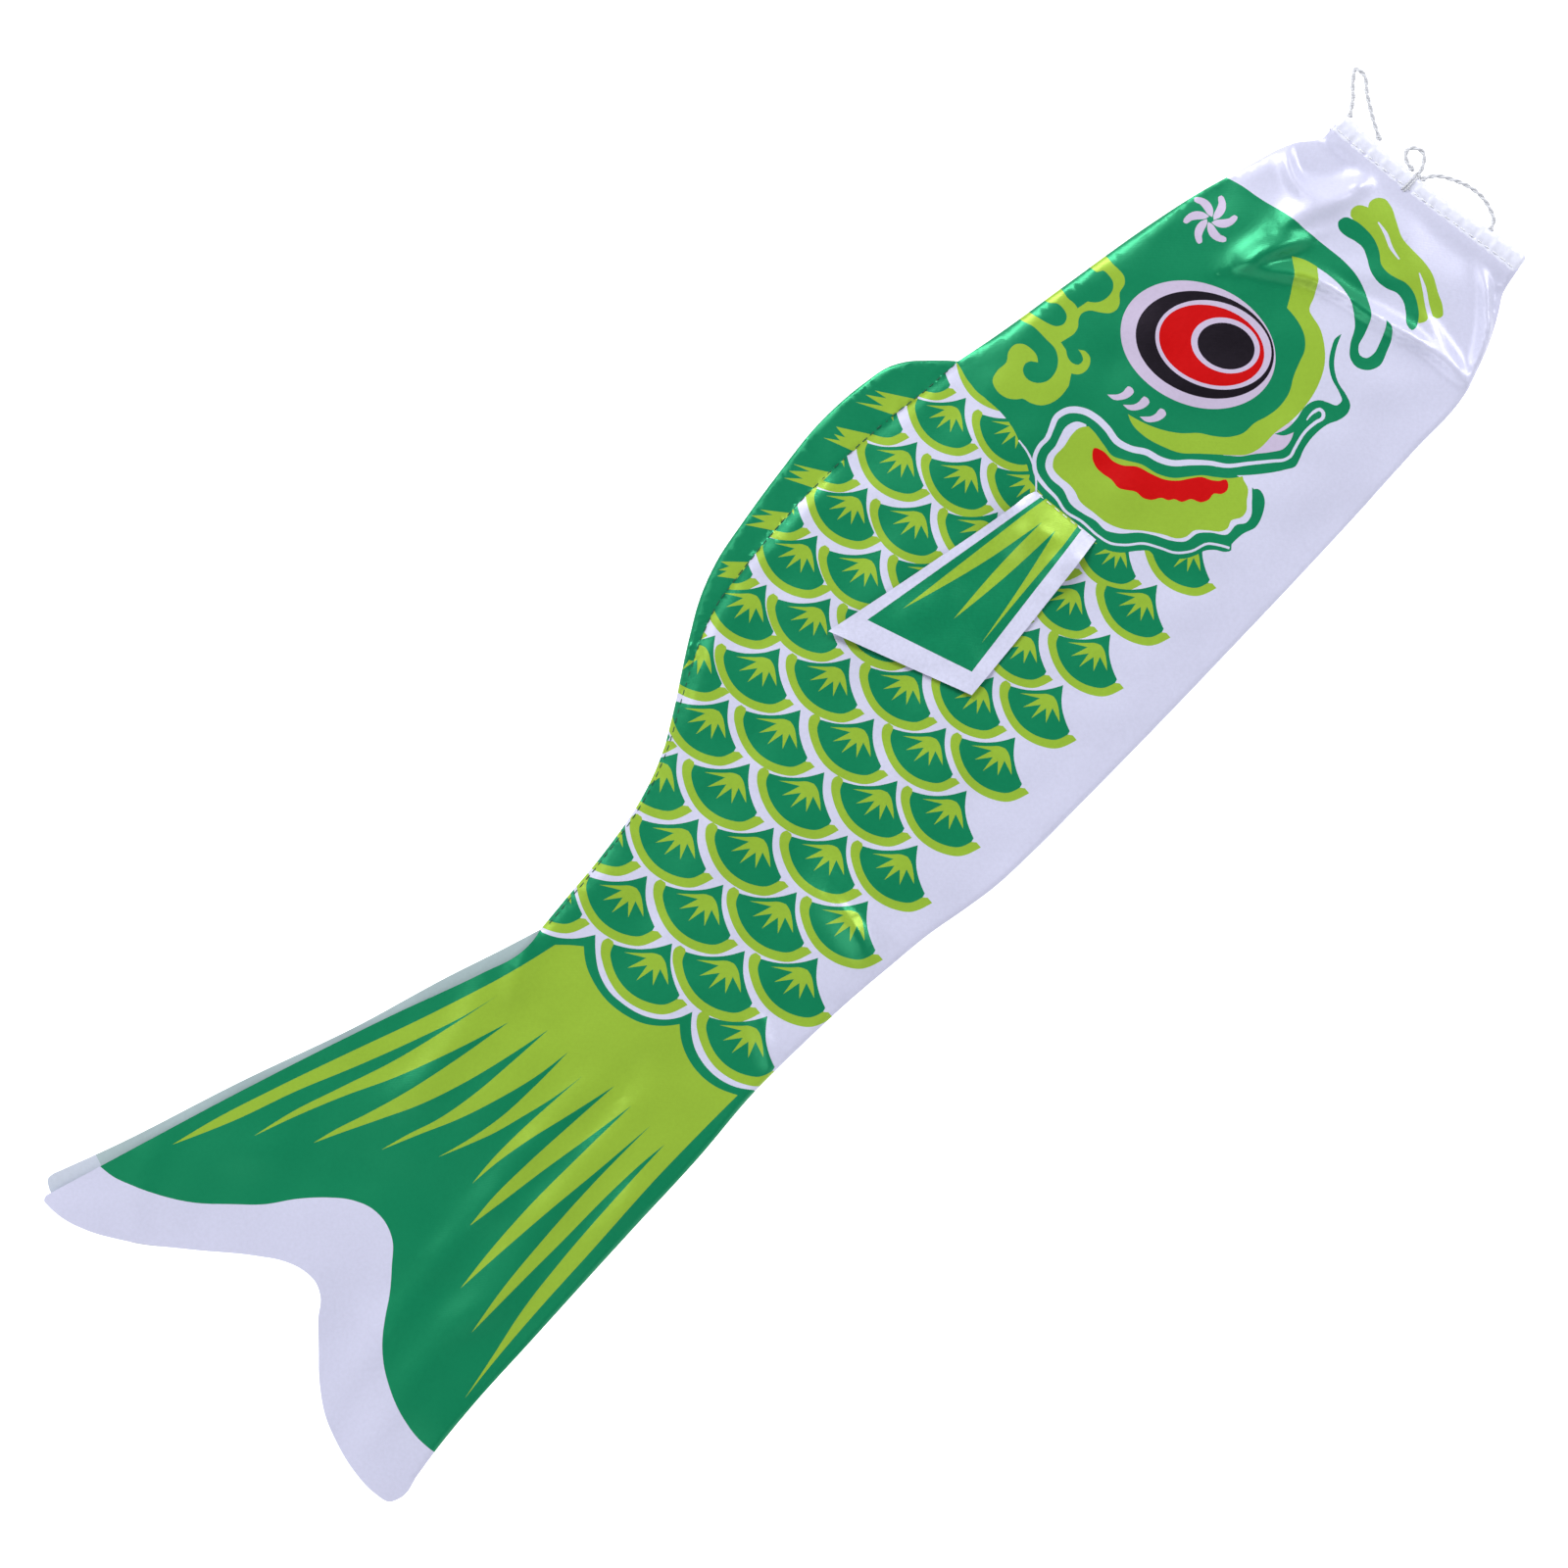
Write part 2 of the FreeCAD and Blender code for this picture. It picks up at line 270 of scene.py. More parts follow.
# --- the fish's outline --------------------------------------------------------------------
BACK_HEAD = [(-13.2, 37.2), (-16, 38.9), (-20, 42.3), (-25, 44.8), (-35, 48.0), (-55, 54.2),
             (-75, 58.8), (-105, 64.2), (-135, 69.5), (-148.5, 72.4)]
BACK_FIN = [(-148.5, 72.4), (-151.5, 75.9), (-155, 79.5), (-160, 84.2), (-165.5, 87.4), (-175, 89.5),
            (-195, 91), (-215, 89.2), (-235, 86.5), (-250, 83.8), (-262, 79.6), (-275, 72.5),
            (-295, 60), (-305, 54.2)]
BACK_STALK = [(-305, 54.2), (-315, 50), (-325, 47.1), (-345, 44), (-365, 42.5), (-376.7, 41.6)]
BACK_TAIL = [(-376.7, 41.6), (-380, 40.9), (-387, 41), (-399.7, 45.2), (-430, 56.8), (-480, 74.4),
             (-532, 91.2), (-551, 97.3)]
LOWER_BACK_TAIL = [(-376.7, 41.6), (-388, 45.3), (-410, 53), (-440, 62.4), (-480, 77.3), (-527, 93.6),
                   (-544.5, 100.6)]
TAIL_TIP = [(-551, 97.3), (-552.8, 96.6), (-553, 94.6), (-552.6, 88), (-549.7, 79)]
LOWER_TAIL_TIP = [(-544.5, 100.6), (-547, 100.8), (-549.3, 98), (-550.6, 92), (-550, 86), (-548.2, 79)]
FORK = [(-544.6, 69.6), (-531, 51), (-517.7, 34.4), (-512.6, 26.7), (-510.3, 20), (-510.3, 14.5),
        (-512.6, 10), (-518.3, 5.5), (-525.4, -1.5), (-533, -9.2), (-538.8, -17), (-543.3, -27),
        (-546, -37.4), (-546.5, -47.7), (-545.3, -52.6), (-541.4, -54.5), (-534, -53.5)]
BELLY_TAIL = [(-523, -52), (-505, -50.5), (-475, -49.5), (-425, -48), (-395, -47.3), (-365, -45.5)]
BELLY_BODY = [(-345, -46), (-325, -47), (-305, -49), (-290, -50.7), (-275, -53.6), (-265, -55.3),
              (-245, -56.5), (-225, -56.8), (-145, -56.8), (-95, -56), (-65, -55), (-45, -54.7),
              (-39, -53.7)]
BELLY_HEAD = [(-39, -53.7), (-35, -52.3), (-25, -48.8), (-14, -43.2), (-9, -40.2), (-6, -39.4)]
HEM_BACK_EDGE = [(-9.9, 37.6), (-9.6, 30), (-8.9, 20), (-8.0, 10), (-6.8, 0), (-5.6, -10), (-4.4, -20),
                 (-3.2, -30), (-2.2, -38.2)]
BACK_SEAM = [(-149.3, 72.4), (-167, 74), (-176, 75.3), (-193, 76.8), (-222, 77.5), (-243, 76),
             (-262, 73.3), (-272, 69.8), (-279, 66.5)]
FRONT_TUCK = 2.0       # how far the body cloth runs into the hem

back_line = np.vstack([smooth(BACK_HEAD), smooth(BACK_FIN)[1:], smooth(BACK_STALK)[1:]])
belly_line = np.vstack([smooth([FORK[-1]] + BELLY_TAIL + BELLY_BODY), smooth(BELLY_HEAD)[1:]])
seam_line = np.vstack([smooth(BACK_HEAD), smooth(BACK_SEAM),
                       smooth([(-279, 66.5), (-295, 59), (-305, 53.2)]),
                       smooth(BACK_STALK)[1:] - (0, 0.8)])


def layer_outline(back_tail, tip):
    """One layer's whole outline, from the mouth's back end round the tail and home along the belly."""
    front = smooth(HEM_BACK_EDGE)[::-1] + (FRONT_TUCK, 0)
    rear = [smooth(back_tail), smooth(tip + FORK)]
    return np.vstack([back_line] + rear + [belly_line] + [front])


UPPER = layer_outline(BACK_TAIL, TAIL_TIP)
LOWER = layer_outline(LOWER_BACK_TAIL, LOWER_TAIL_TIP)

# --- the print: (ink, outline) in painting order, on white cloth ---------------------------------
SCALE_PITCH = 23.1
SCALE_RIM = [[(-13.4, 15.2), (-16.5, 13.4), (-18, 11.4), (-21.7, 0.4), (-19.6, -8.6), (-16.9, -12.6),
              (-9.9, -15.8)],
             [(-9.7, -13.7)],
             [(-10.7, -12.4)],
             [(-12.2, 12.2)],
             [(-11.7, 12.9)],
             [(-11.9, 14.6)]]
SCALE_FACE = [[(-14.6, 11.2), (-16.7, 8.6), (-19.1, 0.4), (-17.2, -7.3), (-14.6, -10.8), (-10.7, -12.4)],
              [(-9.4, -12.1)],
              [(-8.4, -9.6), (-5.4, -4.6), (0, 0)],
              [(-5.4, 3.4), (-9.7, 7.9), (-12.2, 12.2)]]
SCALE_BURST = [[(-5.7, 1.7), (-7.8, 3.9), (-11.8, 8.4)],
               [(-8.4, 2.5)],
               [(-14.4, 4.5)],
               [(-9.7, 0.8)],
               [(-15.2, 0)],
               [(-9.4, -1.2)],
               [(-12.9, -4.5)],
               [(-7.9, -2.7)],
               [(-9.6, -7.6)],
               [(-6.9, -4.6), (-5.2, -1.8), (-4.9, -0.2)]]
# each row of scales: first and last half-pitch count, then three (count, scale tip) it runs through
SCALE_ROWS = [
    (-1, 9, (1, (-168.5, 81)), (5, (-212.5, 83.5)), (9, (-259.5, 85.5))),
    (-2, 14, (0, (-155.4, 62.2)), (4, (-198.8, 64.8)), (10, (-268, 67.2))),
    (-1, 17, (1, (-166, 45)), (7, (-233.1, 48.5)), (13, (-304, 49.3))),
    (0, 16, (2, (-175, 28.8)), (8, (-242.6, 30.3)), (18, (-365.4, 27.6))),
    (1, 17, (1, (-161, 9.8)), (9, (-251.5, 11)), (17, (-350, 7.5))),
    (0, 16, (2, (-171.3, -7.3)), (10, (-260.8, -8.5)), (18, (-361.5, -12.5))),
    (-1, 17, (1, (-156, -25)), (9, (-247.4, -27)), (17, (-345.5, -31.3))),
]


def row_point(known, count):
    """A scale tip of a row, on the even curve through its three known ones."""
    (i, a), (j, b), (k, c) = known
    wa = (count - j) * (count - k) / ((i - j) * (i - k))
    wb = (count - i) * (count - k) / ((j - i) * (j - k))
    wc = (count - i) * (count - j) / ((k - i) * (k - j))
    return np.array(a) * wa + np.array(b) * wb + np.array(c) * wc


def scales():
    """Rows of overlapping scales, each a lime rim, a green face and a lime burst."""
    for first, last, *known in SCALE_ROWS:
        for count in range(first, last + 1, 2):
            tip = row_point(known, count)
            pitch = row_point(known, count - 1)[0] - row_point(known, count + 1)[0]
            for ink, runs in (("lime", SCALE_RIM), ("green", SCALE_FACE), ("lime", SCALE_BURST)):
                yield ink, outline(*[placed(run, tip, pitch / SCALE_PITCH) for run in runs])


FAN_RAYS = [  # upper side out to the tip, then lower side home
    ([(-425, 49.5), (-450, 59), (-475, 68.2), (-495, 75), (-510.6, 79.2)],
     [(-490, 69.8), (-470, 62.3), (-450, 53.6), (-430, 45.6), (-415, 40.2), (-401.7, 36.7)]),
    ([(-420, 40.8), (-440, 46), (-460, 53), (-475, 58.3), (-490, 62)],
     [(-475, 56.3), (-460, 49.8), (-445, 42.5), (-425, 34.6), (-405.5, 28)]),
    ([(-425, 31.6), (-445, 36.2), (-460, 40.8), (-470, 44.3), (-478.3, 46.5)],
     [(-470, 42.5), (-458, 36.5), (-445, 30.2), (-430, 24.8), (-412, 20), (-398.3, 17)]),
    ([(-415, 18.3), (-430, 19.8), (-445, 22.8), (-455, 26.3), (-464.5, 29)],
     [(-452, 23.5), (-440, 18), (-425, 12.8), (-412, 9.3), (-399, 7.3)]),
    ([(-415, 7.4), (-430, 8.4), (-442, 10.8), (-453.2, 14)],
     [(-444, 10), (-435, 6.4), (-425, 3.5), (-412, 0.2), (-401.5, -1.5)]),
    ([(-415, -0.3), (-430, 0.7), (-442, 0.8), (-451.7, 0)],
     [(-440, -1.2), (-428, -3.5), (-415, -6.8), (-396.5, -11.3)]),
    ([(-415, -9.8), (-435, -8.4), (-450, -8), (-462, -9)],
     [(-450, -11), (-435, -13.3), (-415, -16.8), (-397.2, -19.7)]),
    ([(-420, -18.9), (-445, -18.5), (-465, -19.5), (-479, -21)],
     [(-460, -22.4), (-440, -24.2), (-420, -26.5), (-397.5, -28.7)]),
    ([(-425, -28.4), (-450, -29.4), (-470, -31), (-486.7, -33.6)],
     [(-465, -33.8), (-445, -34.2), (-420, -34.5), (-408, -35.2), (-398.8, -36.3)]),
    ([(-425, -37), (-450, -38.4), (-470, -40.5), (-488, -44), (-504, -47)],
     [(-490, -45.6), (-470, -44.3), (-440, -43.2), (-410, -42), (-385, -42), (-370.8, -42.2)]),
]


def tail_print():
    """Green tail inside a white margin, with a lime fan of rays."""
    yield "green", outline(
        [(-374.8, 36), (-371, 31.5), (-365.4, 27.5)],
        [(-369.5, 23.5), (-373.5, 18), (-375.5, 12), (-375.3, 5), (-373.5, -2), (-370, -7.5),
         (-366, -10.8), (-361.5, -12.7)],
        [(-366, -16.5), (-369.5, -21.5), (-371.3, -28), (-371.2, -34), (-369.5, -39.5), (-366, -44.8)],
        [(-365, -60)],
        [(-523.5, -60)],
        [(-523.5, -52)],
        [(-523.7, -44), (-522, -36), (-519, -28.5), (-514, -20), (-508.7, -14.4), (-503.6, -10.5),
         (-496, -5.4), (-489.5, 0), (-483, 6), (-480.3, 12.6), (-480.3, 18), (-483, 24.7), (-488, 31),
         (-495, 37.6), (-503.6, 44), (-511, 51.7), (-519, 60.6), (-524.7, 69.6), (-529, 79),
         (-531.5, 86), (-532, 91.2)],
        [(-530, 97)],
        [(-527, 97)],
        [(-376.9, 48)],
        [(-376.9, 40.5)],
    )
    sides = [side for ray in FAN_RAYS for side in ray]
    yield "lime", outline(
        *sides,
        [(-373.8, -35), (-374.5, -29), (-373.5, -22.5), (-371, -17), (-367.3, -12.5)],
        [(-371.5, -9), (-375.5, -3.5), (-377.6, 3), (-378.2, 10.5), (-377, 17), (-374.5, 23),
         (-370.8, 27.6)],
        [(-374, 31.5), (-377, 34.7)],
        [(-388, 37.4), (-399.7, 40.8)],
    )


def back_fin_print():
    """Green strip outside the back seam, with five lime crowns standing on the seam."""
    seam = BACK_SEAM[1:]
    yield "green", outline([(-149, 74), (-149.3, 72.4)], seam, [(-285, 80), (-230, 100), (-149, 100)])
    for run in (
        [(-175.7, 75.2), (-181.4, 87.2), (-176, 79.8), (-177.4, 86.5), (-173.5, 80.8), (-174.3, 85.3),
         (-167.3, 74)],
        [(-193.4, 76.5), (-197.1, 86.7), (-194, 82.1), (-193.8, 85), (-192.1, 81.6), (-191.6, 86.2),
         (-185.2, 75.8)],
        [(-210.8, 77), (-215.5, 86.9), (-211.4, 82.2), (-212.7, 87.3), (-208.1, 82.2), (-210.1, 87.8),
         (-203.5, 76.9)],
        [(-230, 77.1), (-235.3, 85.4), (-230, 81.3), (-231.7, 86), (-226.7, 81), (-228.3, 85.3),
         (-222.2, 77.2)],
        [(-249.9, 75), (-253.7, 80.2), (-250.2, 79.1), (-251.9, 81.3), (-248.6, 79.6), (-249.4, 82.7),
         (-243, 75.8)],
    ):
        yield "lime", outline(*[[p] for p in run])


def head_ground():
    """The green of the head, with the hook under the snout."""
    yield "green", outline(
        [(-43.3, 46.3), (-42.2, 38.5), (-40.5, 30), (-39.5, 20.5), (-38.6, 12), (-38.1, 4), (-39, -3),
         (-42, -10), (-46, -14.8), (-51, -17), (-54.8, -18.2), (-56.5, -20.5), (-55.8, -22.6),
         (-53, -23.4), (-49, -22.3), (-45, -20.5), (-42.8, -18.7)],
        [(-42.8, -20.5), (-45, -23.8), (-49.5, -26), (-54.6, -27.5), (-58.3, -25.7), (-60.1, -22),
         (-59.3, -18.7), (-56.5, -16), (-51, -12.8), (-47, -7.5), (-45, -1), (-45, 5), (-45.8, 10)],
        [(-50, 9), (-55, 6), (-60.5, 2), (-63, -7), (-70, -13), (-80, -16.5), (-92, -16), (-102, -15),
         (-108, -13), (-112.5, -13.5), (-117, -8.5), (-122, -3), (-126, 3), (-130.5, 11), (-131, 22),
         (-133, 33), (-140, 36), (-150, 33.6), (-160.4, 28)],
        [(-158.3, 31.2), (-155, 37.5), (-152.5, 43), (-151.1, 50.5), (-151.3, 58), (-150.9, 66),
         (-149.3, 71.5), (-149, 74)],
        [(-149, 80)],
        [(-46, 60)],
        [(-44.5, 51)],
    )
    yield "lilac", outline([(-106, -17), (-99, -25), (-90, -25), (-87, -17)], [(-100, -13), (-112, -11)])


def cheek_print():
    """Lime band that sweeps from the cheek under the eye up to the snout."""
    yield "lime", outline(
        [(-124.2, 17), (-124.3, 12), (-122.5, 5), (-120, -0.5), (-116, -5), (-112, -9.5),
         (-108.5, -13.5), (-105, -16.7), (-101.5, -18), (-94, -18.2), (-87, -19.3), (-79, -19),
         (-73, -17.5), (-67, -14.5), (-62, -9.5), (-59.3, -5), (-58, 0), (-57.6, 1.2), (-53, 3.5),
         (-49.5, 5.8), (-45.5, 9.5)],
        [(-46.8, 14.5), (-48.7, 17.8)],
        [(-52.5, 13.5), (-57.5, 9.8), (-61.9, 7.3)],
        [(-62.6, 2), (-64.5, -3), (-68, -6.5), (-72, -8), (-76.5, -9.8), (-81, -12.3), (-87, -13.3),
         (-92, -12.5), (-96, -11.2), (-101, -10.8), (-105, -8.5), (-108.5, -4.5), (-111, -0.5),
         (-115, 3.5), (-118.5, 8.5), (-120.8, 13.5), (-122.8, 20.5)],
    )
    yield "green", outline(
        [(-107.5, -23.5), (-100, -29), (-97, -30.6), (-94.8, -30), (-91, -28.6), (-85.5, -27.9),
         (-80, -28.6), (-76, -30.4), (-73, -30.8), (-70.4, -29.6), (-69, -26.5), (-67.8, -21.5),
         (-65, -17), (-61, -13.8), (-55.8, -11.4)],
        [(-58, -10.9), (-61.5, -12.3), (-65.2, -14.8), (-68.3, -19), (-69.9, -24), (-71.3, -26.6),
         (-73.4, -26.5), (-74.7, -24), (-76, -21.4), (-78.3, -19.8), (-81, -19.3), (-86, -20.1),
         (-91, -19.8), (-94.2, -18.3)],
        [(-92.6, -20.8), (-89.6, -22.4)],
        [(-92, -23.5), (-96, -23.7), (-98.7, -22), (-104, -17.7), (-107, -15.5), (-110, -12), (-116, -6)],
        [(-114, -17.3)],
    )


def mouth_print():
    """Green lips with white lines, a lime mouth and a red tongue."""
    yield "green", outline(
        [(-161, 20), (-160.5, 12), (-160, 5), (-159.5, -5), (-157, -9), (-152.5, -12.8), (-150, -15.5),
         (-150, -18), (-147.5, -21.5), (-144, -25.3), (-140, -27.5), (-137.8, -28.2), (-135, -30.5),
         (-133, -33.5), (-131.3, -34.5), (-130.6, -33.9)],
        [(-129.8, -33.2)],
        [(-124.5, -33.6), (-120.5, -35), (-115.5, -33.6), (-111.3, -30), (-110.8, -27), (-111.8, -26)],
        [(-112, -21), (-113.5, -15.5), (-117, -9), (-121.5, -4), (-125.5, 1), (-128, 6.5), (-131, 13),
         (-131.2, 22), (-132.5, 31.5), (-137, 35.6), (-144, 35.2), (-150, 34), (-156, 31.5),
         (-160.4, 29)],
    )
    yield "white", outline(
        [(-136, 30.8), (-139.8, 32.2), (-143.5, 31.3), (-146.5, 30.3), (-150.5, 30), (-153.7, 28),
         (-155.2, 24), (-155, 19), (-156.7, 13.5), (-156, 8), (-155, 4), (-155, -0.5), (-153, -4),
         (-147.5, -9.5), (-145, -13.5), (-142.8, -18), (-139.5, -21.8), (-135, -22.8), (-132, -25.5),
         (-128.5, -30), (-124, -30), (-121.5, -31.8), (-119, -31.5), (-115.5, -28.6), (-112.5, -25.8),
         (-110.9, -24), (-111.4, -20.6)],
        [(-114.5, -20.5)],
        [(-121, -13), (-131, -1), (-135.5, 8), (-138, 15), (-137, 25)],
        [(-134.6, 28)],
    )
    yield "lime", outline(
        [(-137, 28.8), (-140.5, 29), (-144.5, 28.2), (-150, 27.8), (-152.2, 26), (-152.8, 22),
         (-152.5, 18), (-152.8, 15.5), (-153.9, 12.5), (-153.5, 6), (-153, 1), (-151, -4), (-147, -9),
         (-143, -15), (-140.5, -19.5), (-138, -21), (-135.5, -21.2), (-132, -24.5), (-129, -28),
         (-127, -28.7), (-124.5, -27.8), (-121, -29.5), (-119, -29.3), (-116, -26.8), (-113.2, -24.7),
         (-112, -21.5)],
        [(-111.3, -20.4)],
        [(-114, -18.5), (-117.5, -14.5), (-120.5, -10.5), (-123.5, -8), (-127.5, -4.5), (-130, 0),
         (-131.5, 6), (-134, 10.5), (-136, 15), (-135.4, 19), (-134.5, 25), (-134.5, 27)],
    )
    yield "red", smooth(
        [(-138.3, 20.8), (-140.5, 19.5), (-142.3, 16), (-142.3, 12.5), (-141.8, 9.5), (-142.2, 6),
         (-141, 3.8), (-139.2, 1), (-139, -2), (-137.5, -4.5), (-134.8, -6.3), (-133.8, -8.5),
         (-132.3, -9.5), (-131.2, -12), (-128.4, -13.5), (-127, -16.5), (-124.5, -17.8), (-122, -17.6),
         (-120.3, -19.5), (-118.3, -20), (-116, -18.2), (-115.8, -17.3), (-117.5, -16.2), (-119.3, -14),
         (-120.8, -11), (-123.5, -8.8), (-127, -6.3), (-129.7, -3), (-131.5, 1.5), (-133, 6.5),
         (-136, 10.3), (-137, 13), (-137, 18)], closed=True)
    yield "white", ribbon(
        [(-131.2, -33.6, 0.8), (-133.2, -30, 0.8), (-135, -27.6, 0.8), (-140.5, -25.4, 0.8),
         (-144.5, -22, 0.8), (-147, -17, 0.8), (-149.5, -12.5, 0.8), (-154, -8.5, 0.8),
         (-157, -4.5, 0.8), (-158, 0, 0.8), (-158.3, 7, 0.8), (-159.6, 13.5, 0.9), (-158.6, 18, 0.9),
         (-158.3, 24, 1.0), (-157.2, 29, 1.2), (-153.8, 32.7, 1.4), (-150, 34, 1.4), (-146.5, 34, 1.4),
         (-143.5, 35.2, 1.5), (-139.5, 36.6, 1.8), (-135.5, 35.5, 2.0), (-132, 31.5, 2.2),
         (-130.8, 27, 2.2), (-130.8, 22, 2.2), (-131.6, 17, 2.2), (-130.2, 12, 2.2), (-127.5, 7.5, 2.1),
         (-126.3, 3, 2.1), (-124.3, -0.8, 2.1), (-120, -5, 2.0), (-115.5, -10, 2.0),
         (-112.5, -14.3, 1.7), (-107, -18.9, 1.5), (-101, -24, 1.3), (-98, -26.5, 1.2),
         (-96, -27.1, 1.1), (-93, -26.3, 1.0), (-87, -25, 1.0), (-82, -25.4, 1.0), (-79.6, -26, 1.0),
         (-78.3, -25, 1.1), (-78.3, -23.3, 1.2), (-80, -22.6, 1.1), (-83.8, -22.7, 0.4)])
    yield "white", ribbon([(-153.6, 40.2, 0.5), (-154.5, 35, 0.7), (-157, 29.5, 0.7), (-161.5, 24.6, 0.5)])


def eye_print():
    """The round eye: rings of lilac, black, white and red about a black pupil."""
    yield "lilac", leaning_oval(-90.6, 19.8, 20.6, 25.5, 4.6)
    yield "black", leaning_oval(-89.1, 18.2, 18.2, 22, 5.3)
    yield "lilac", leaning_oval(-87.2, 16.2, 15.3, 18.4, 4.6)
    yield "red", leaning_oval(-87.7, 16.5, 13.6, 16.9, 4.2)
    yield "lilac", leaning_oval(-84.6, 13.2, 9.4, 11, 2.2)
    yield "black", leaning_oval(-84.6, 12.9, 7.8, 9.15, 1.8)


PETAL = [(2.6, -1.8), (5.4, -1.5), (7.9, 0.8), (8.4, 2.8), (7.2, 3.2), (5.9, 1.8), (3.8, 0.9),
         (1.7, 0.2), (0.6, -0.9)]
COMMA = [(0.3, -2.8), (2.3, -4.8), (4.6, -5.8), (6.5, -5.7), (7.1, -4.3), (6.6, -3), (4.4, -3.1),
         (2.5, -2.5), (1.2, -1.3), (0, 0)]


def small_marks():
    """Pinwheel on the brow and three commas behind the eye."""
    for i in range(6):
        yield "lilac", outline(placed(PETAL, (-58.3, 45.3), 1.0, 60 * i))
    for tip in ((-122.8, 29.8), (-121.7, 23.8), (-120.7, 17.2)):
        yield "lilac", outline(placed(COMMA, tip))


def cloud_print():
    """Curling lime cloud on the nape."""
    yield "lime", outline(
        [(-124.6, 66.5), (-123.6, 63), (-123.6, 57), (-124, 52), (-126, 49), (-129.5, 47), (-133.5, 47),
         (-136.5, 49.5), (-137.3, 52.5), (-136.3, 55), (-134, 56), (-132.3, 55.3)],
        [(-131, 53.3)],
        [(-129.7, 55), (-129.3, 58), (-130, 61), (-132, 62.8), (-135, 62.7), (-138, 60.8), (-142, 61),
         (-145.3, 60), (-146.9, 56.5), (-146.3, 52.5), (-144.5, 50), (-143, 48.8), (-142.2, 46),
         (-140.5, 43), (-137.5, 41), (-134, 40.3), (-129.5, 40.8)],
        [(-126, 43)],
        [(-124.5, 41), (-122.5, 40.2), (-119.5, 40.8), (-117.8, 42.5), (-117.6, 45)],
        [(-118.8, 46.8)],
        [(-119.3, 44.5), (-120.3, 43.2), (-122.3, 43.3), (-123.3, 45), (-123, 47.5), (-121.7, 49.5)],
        [(-121, 52.5)],
        [(-118.5, 51.9), (-116, 51.4), (-113.5, 52), (-111.5, 53.6), (-109.5, 54.2), (-107, 53),
         (-105, 50), (-103, 47.6), (-100.8, 46.8), (-98.5, 47.6), (-96, 50), (-93, 50.7), (-91.2, 52.7),
         (-90.8, 55.5), (-90.8, 58), (-90.4, 61), (-90.4, 64)],
        [(-96.6, 65)],
        [(-96.5, 61.5), (-96.3, 60), (-94.6, 59), (-94.4, 56.5), (-95, 54), (-97, 52.2), (-100, 51.8),
         (-103, 52.8), (-105.3, 55.5)],
        [(-109.2, 56.3)],
        [(-108.8, 58), (-109, 61), (-108.3, 64), (-108, 66)],
        [(-114.5, 68)],
        [(-114.5, 65), (-114, 63.8), (-112.8, 62.5), (-112.5, 59.5), (-113.5, 57), (-116, 56),
         (-118.3, 57.3), (-119.5, 60), (-120.3, 63.5), (-120.8, 66), (-121, 68)],
        [(-124.8, 68)],
    )


def nose_print():
    """Lime and green strokes on the white snout, with two white slits."""
    yield "lime", outline(
        [(-24.5, 14.4), (-22, 14), (-20, 11)],
        [(-18.5, 11.8), (-16, 11.3), (-14.1, 9), (-14.4, 6), (-17, 1), (-19.5, -4), (-19.9, -9),
         (-20, -14), (-21, -19), (-24, -24.5), (-26.5, -29.3), (-28.5, -31.1), (-30.3, -30.3),
         (-30.8, -28.8)],
        [(-30.6, -27)],
        [(-33.5, -28.3), (-35.8, -27)],
        [(-33, -22), (-31, -16), (-32, -8), (-28, 0), (-27, 8), (-26, 13.2)],
    )
    yield "green", smooth(
        [(-30, 14.8), (-31.6, 13), (-31.7, 10), (-30.8, 6.5), (-30.6, 3), (-32, 0), (-34.5, -4),
         (-35.4, -8), (-34.8, -12), (-33.6, -15), (-34, -18.3), (-36.3, -21.8), (-39, -24.8),
         (-39.2, -27), (-37.5, -27.4), (-35, -26.2), (-31.5, -22.5), (-29.5, -18.5), (-29.2, -15),
         (-30.3, -11.5), (-31, -8), (-30.5, -5), (-28, -1.8), (-26.2, 2), (-25.6, 7), (-26.2, 11.5),
         (-27.5, 14.2)], closed=True)
    yield "white", ribbon([(-21.2, 5.3, 0.5), (-22.2, 1, 1.3), (-24.3, -3.5, 1.2), (-25.2, -8, 0.5)])
    yield "white", ribbon([(-23.8, -15.8, 0.4), (-26.3, -20.5, 1.3), (-29.5, -25, 1.4),
                           (-31.6, -28.5, 1.6)])


def body_print():
    """Every printed patch of one side of the fish, in painting order."""
    for part in (scales, tail_print, back_fin_print, head_ground, cheek_print, mouth_print, eye_print,
                 small_marks, cloud_print, nose_print):
        yield from part()


FIN_OUTLINE = [[(-224, -6.5)], [(-195, -4.2), (-175, -2.2), (-159.4, -0.4)],
               [(-160.2, 10), (-161.5, 24.6)], [(-164, 25.6), (-170, 26.5), (-200, 32.5), (-241.5, 41.6)]]


def fin_print():
    """A breast fin: green panel in a white border, with lime rays from the root."""
    yield "green", outline([(-230, 35)], [(-218.5, -1.2)], [(-160.3, 5.2)], [(-161, 22)])
    yield "lime", outline(
        [(-168, 21.8), (-180, 23.6), (-219.2, 29.2)],
        [(-190, 20.8), (-167.7, 16.2)],
        [(-185, 16.4), (-210.3, 15)],
        [(-188, 12.4), (-166.5, 11.2)],
        [(-185, 7.2), (-209.5, 3)],
        [(-185, 4.9), (-168, 6)],
        [(-160, 7)],
        [(-161, 20.6)],
    )


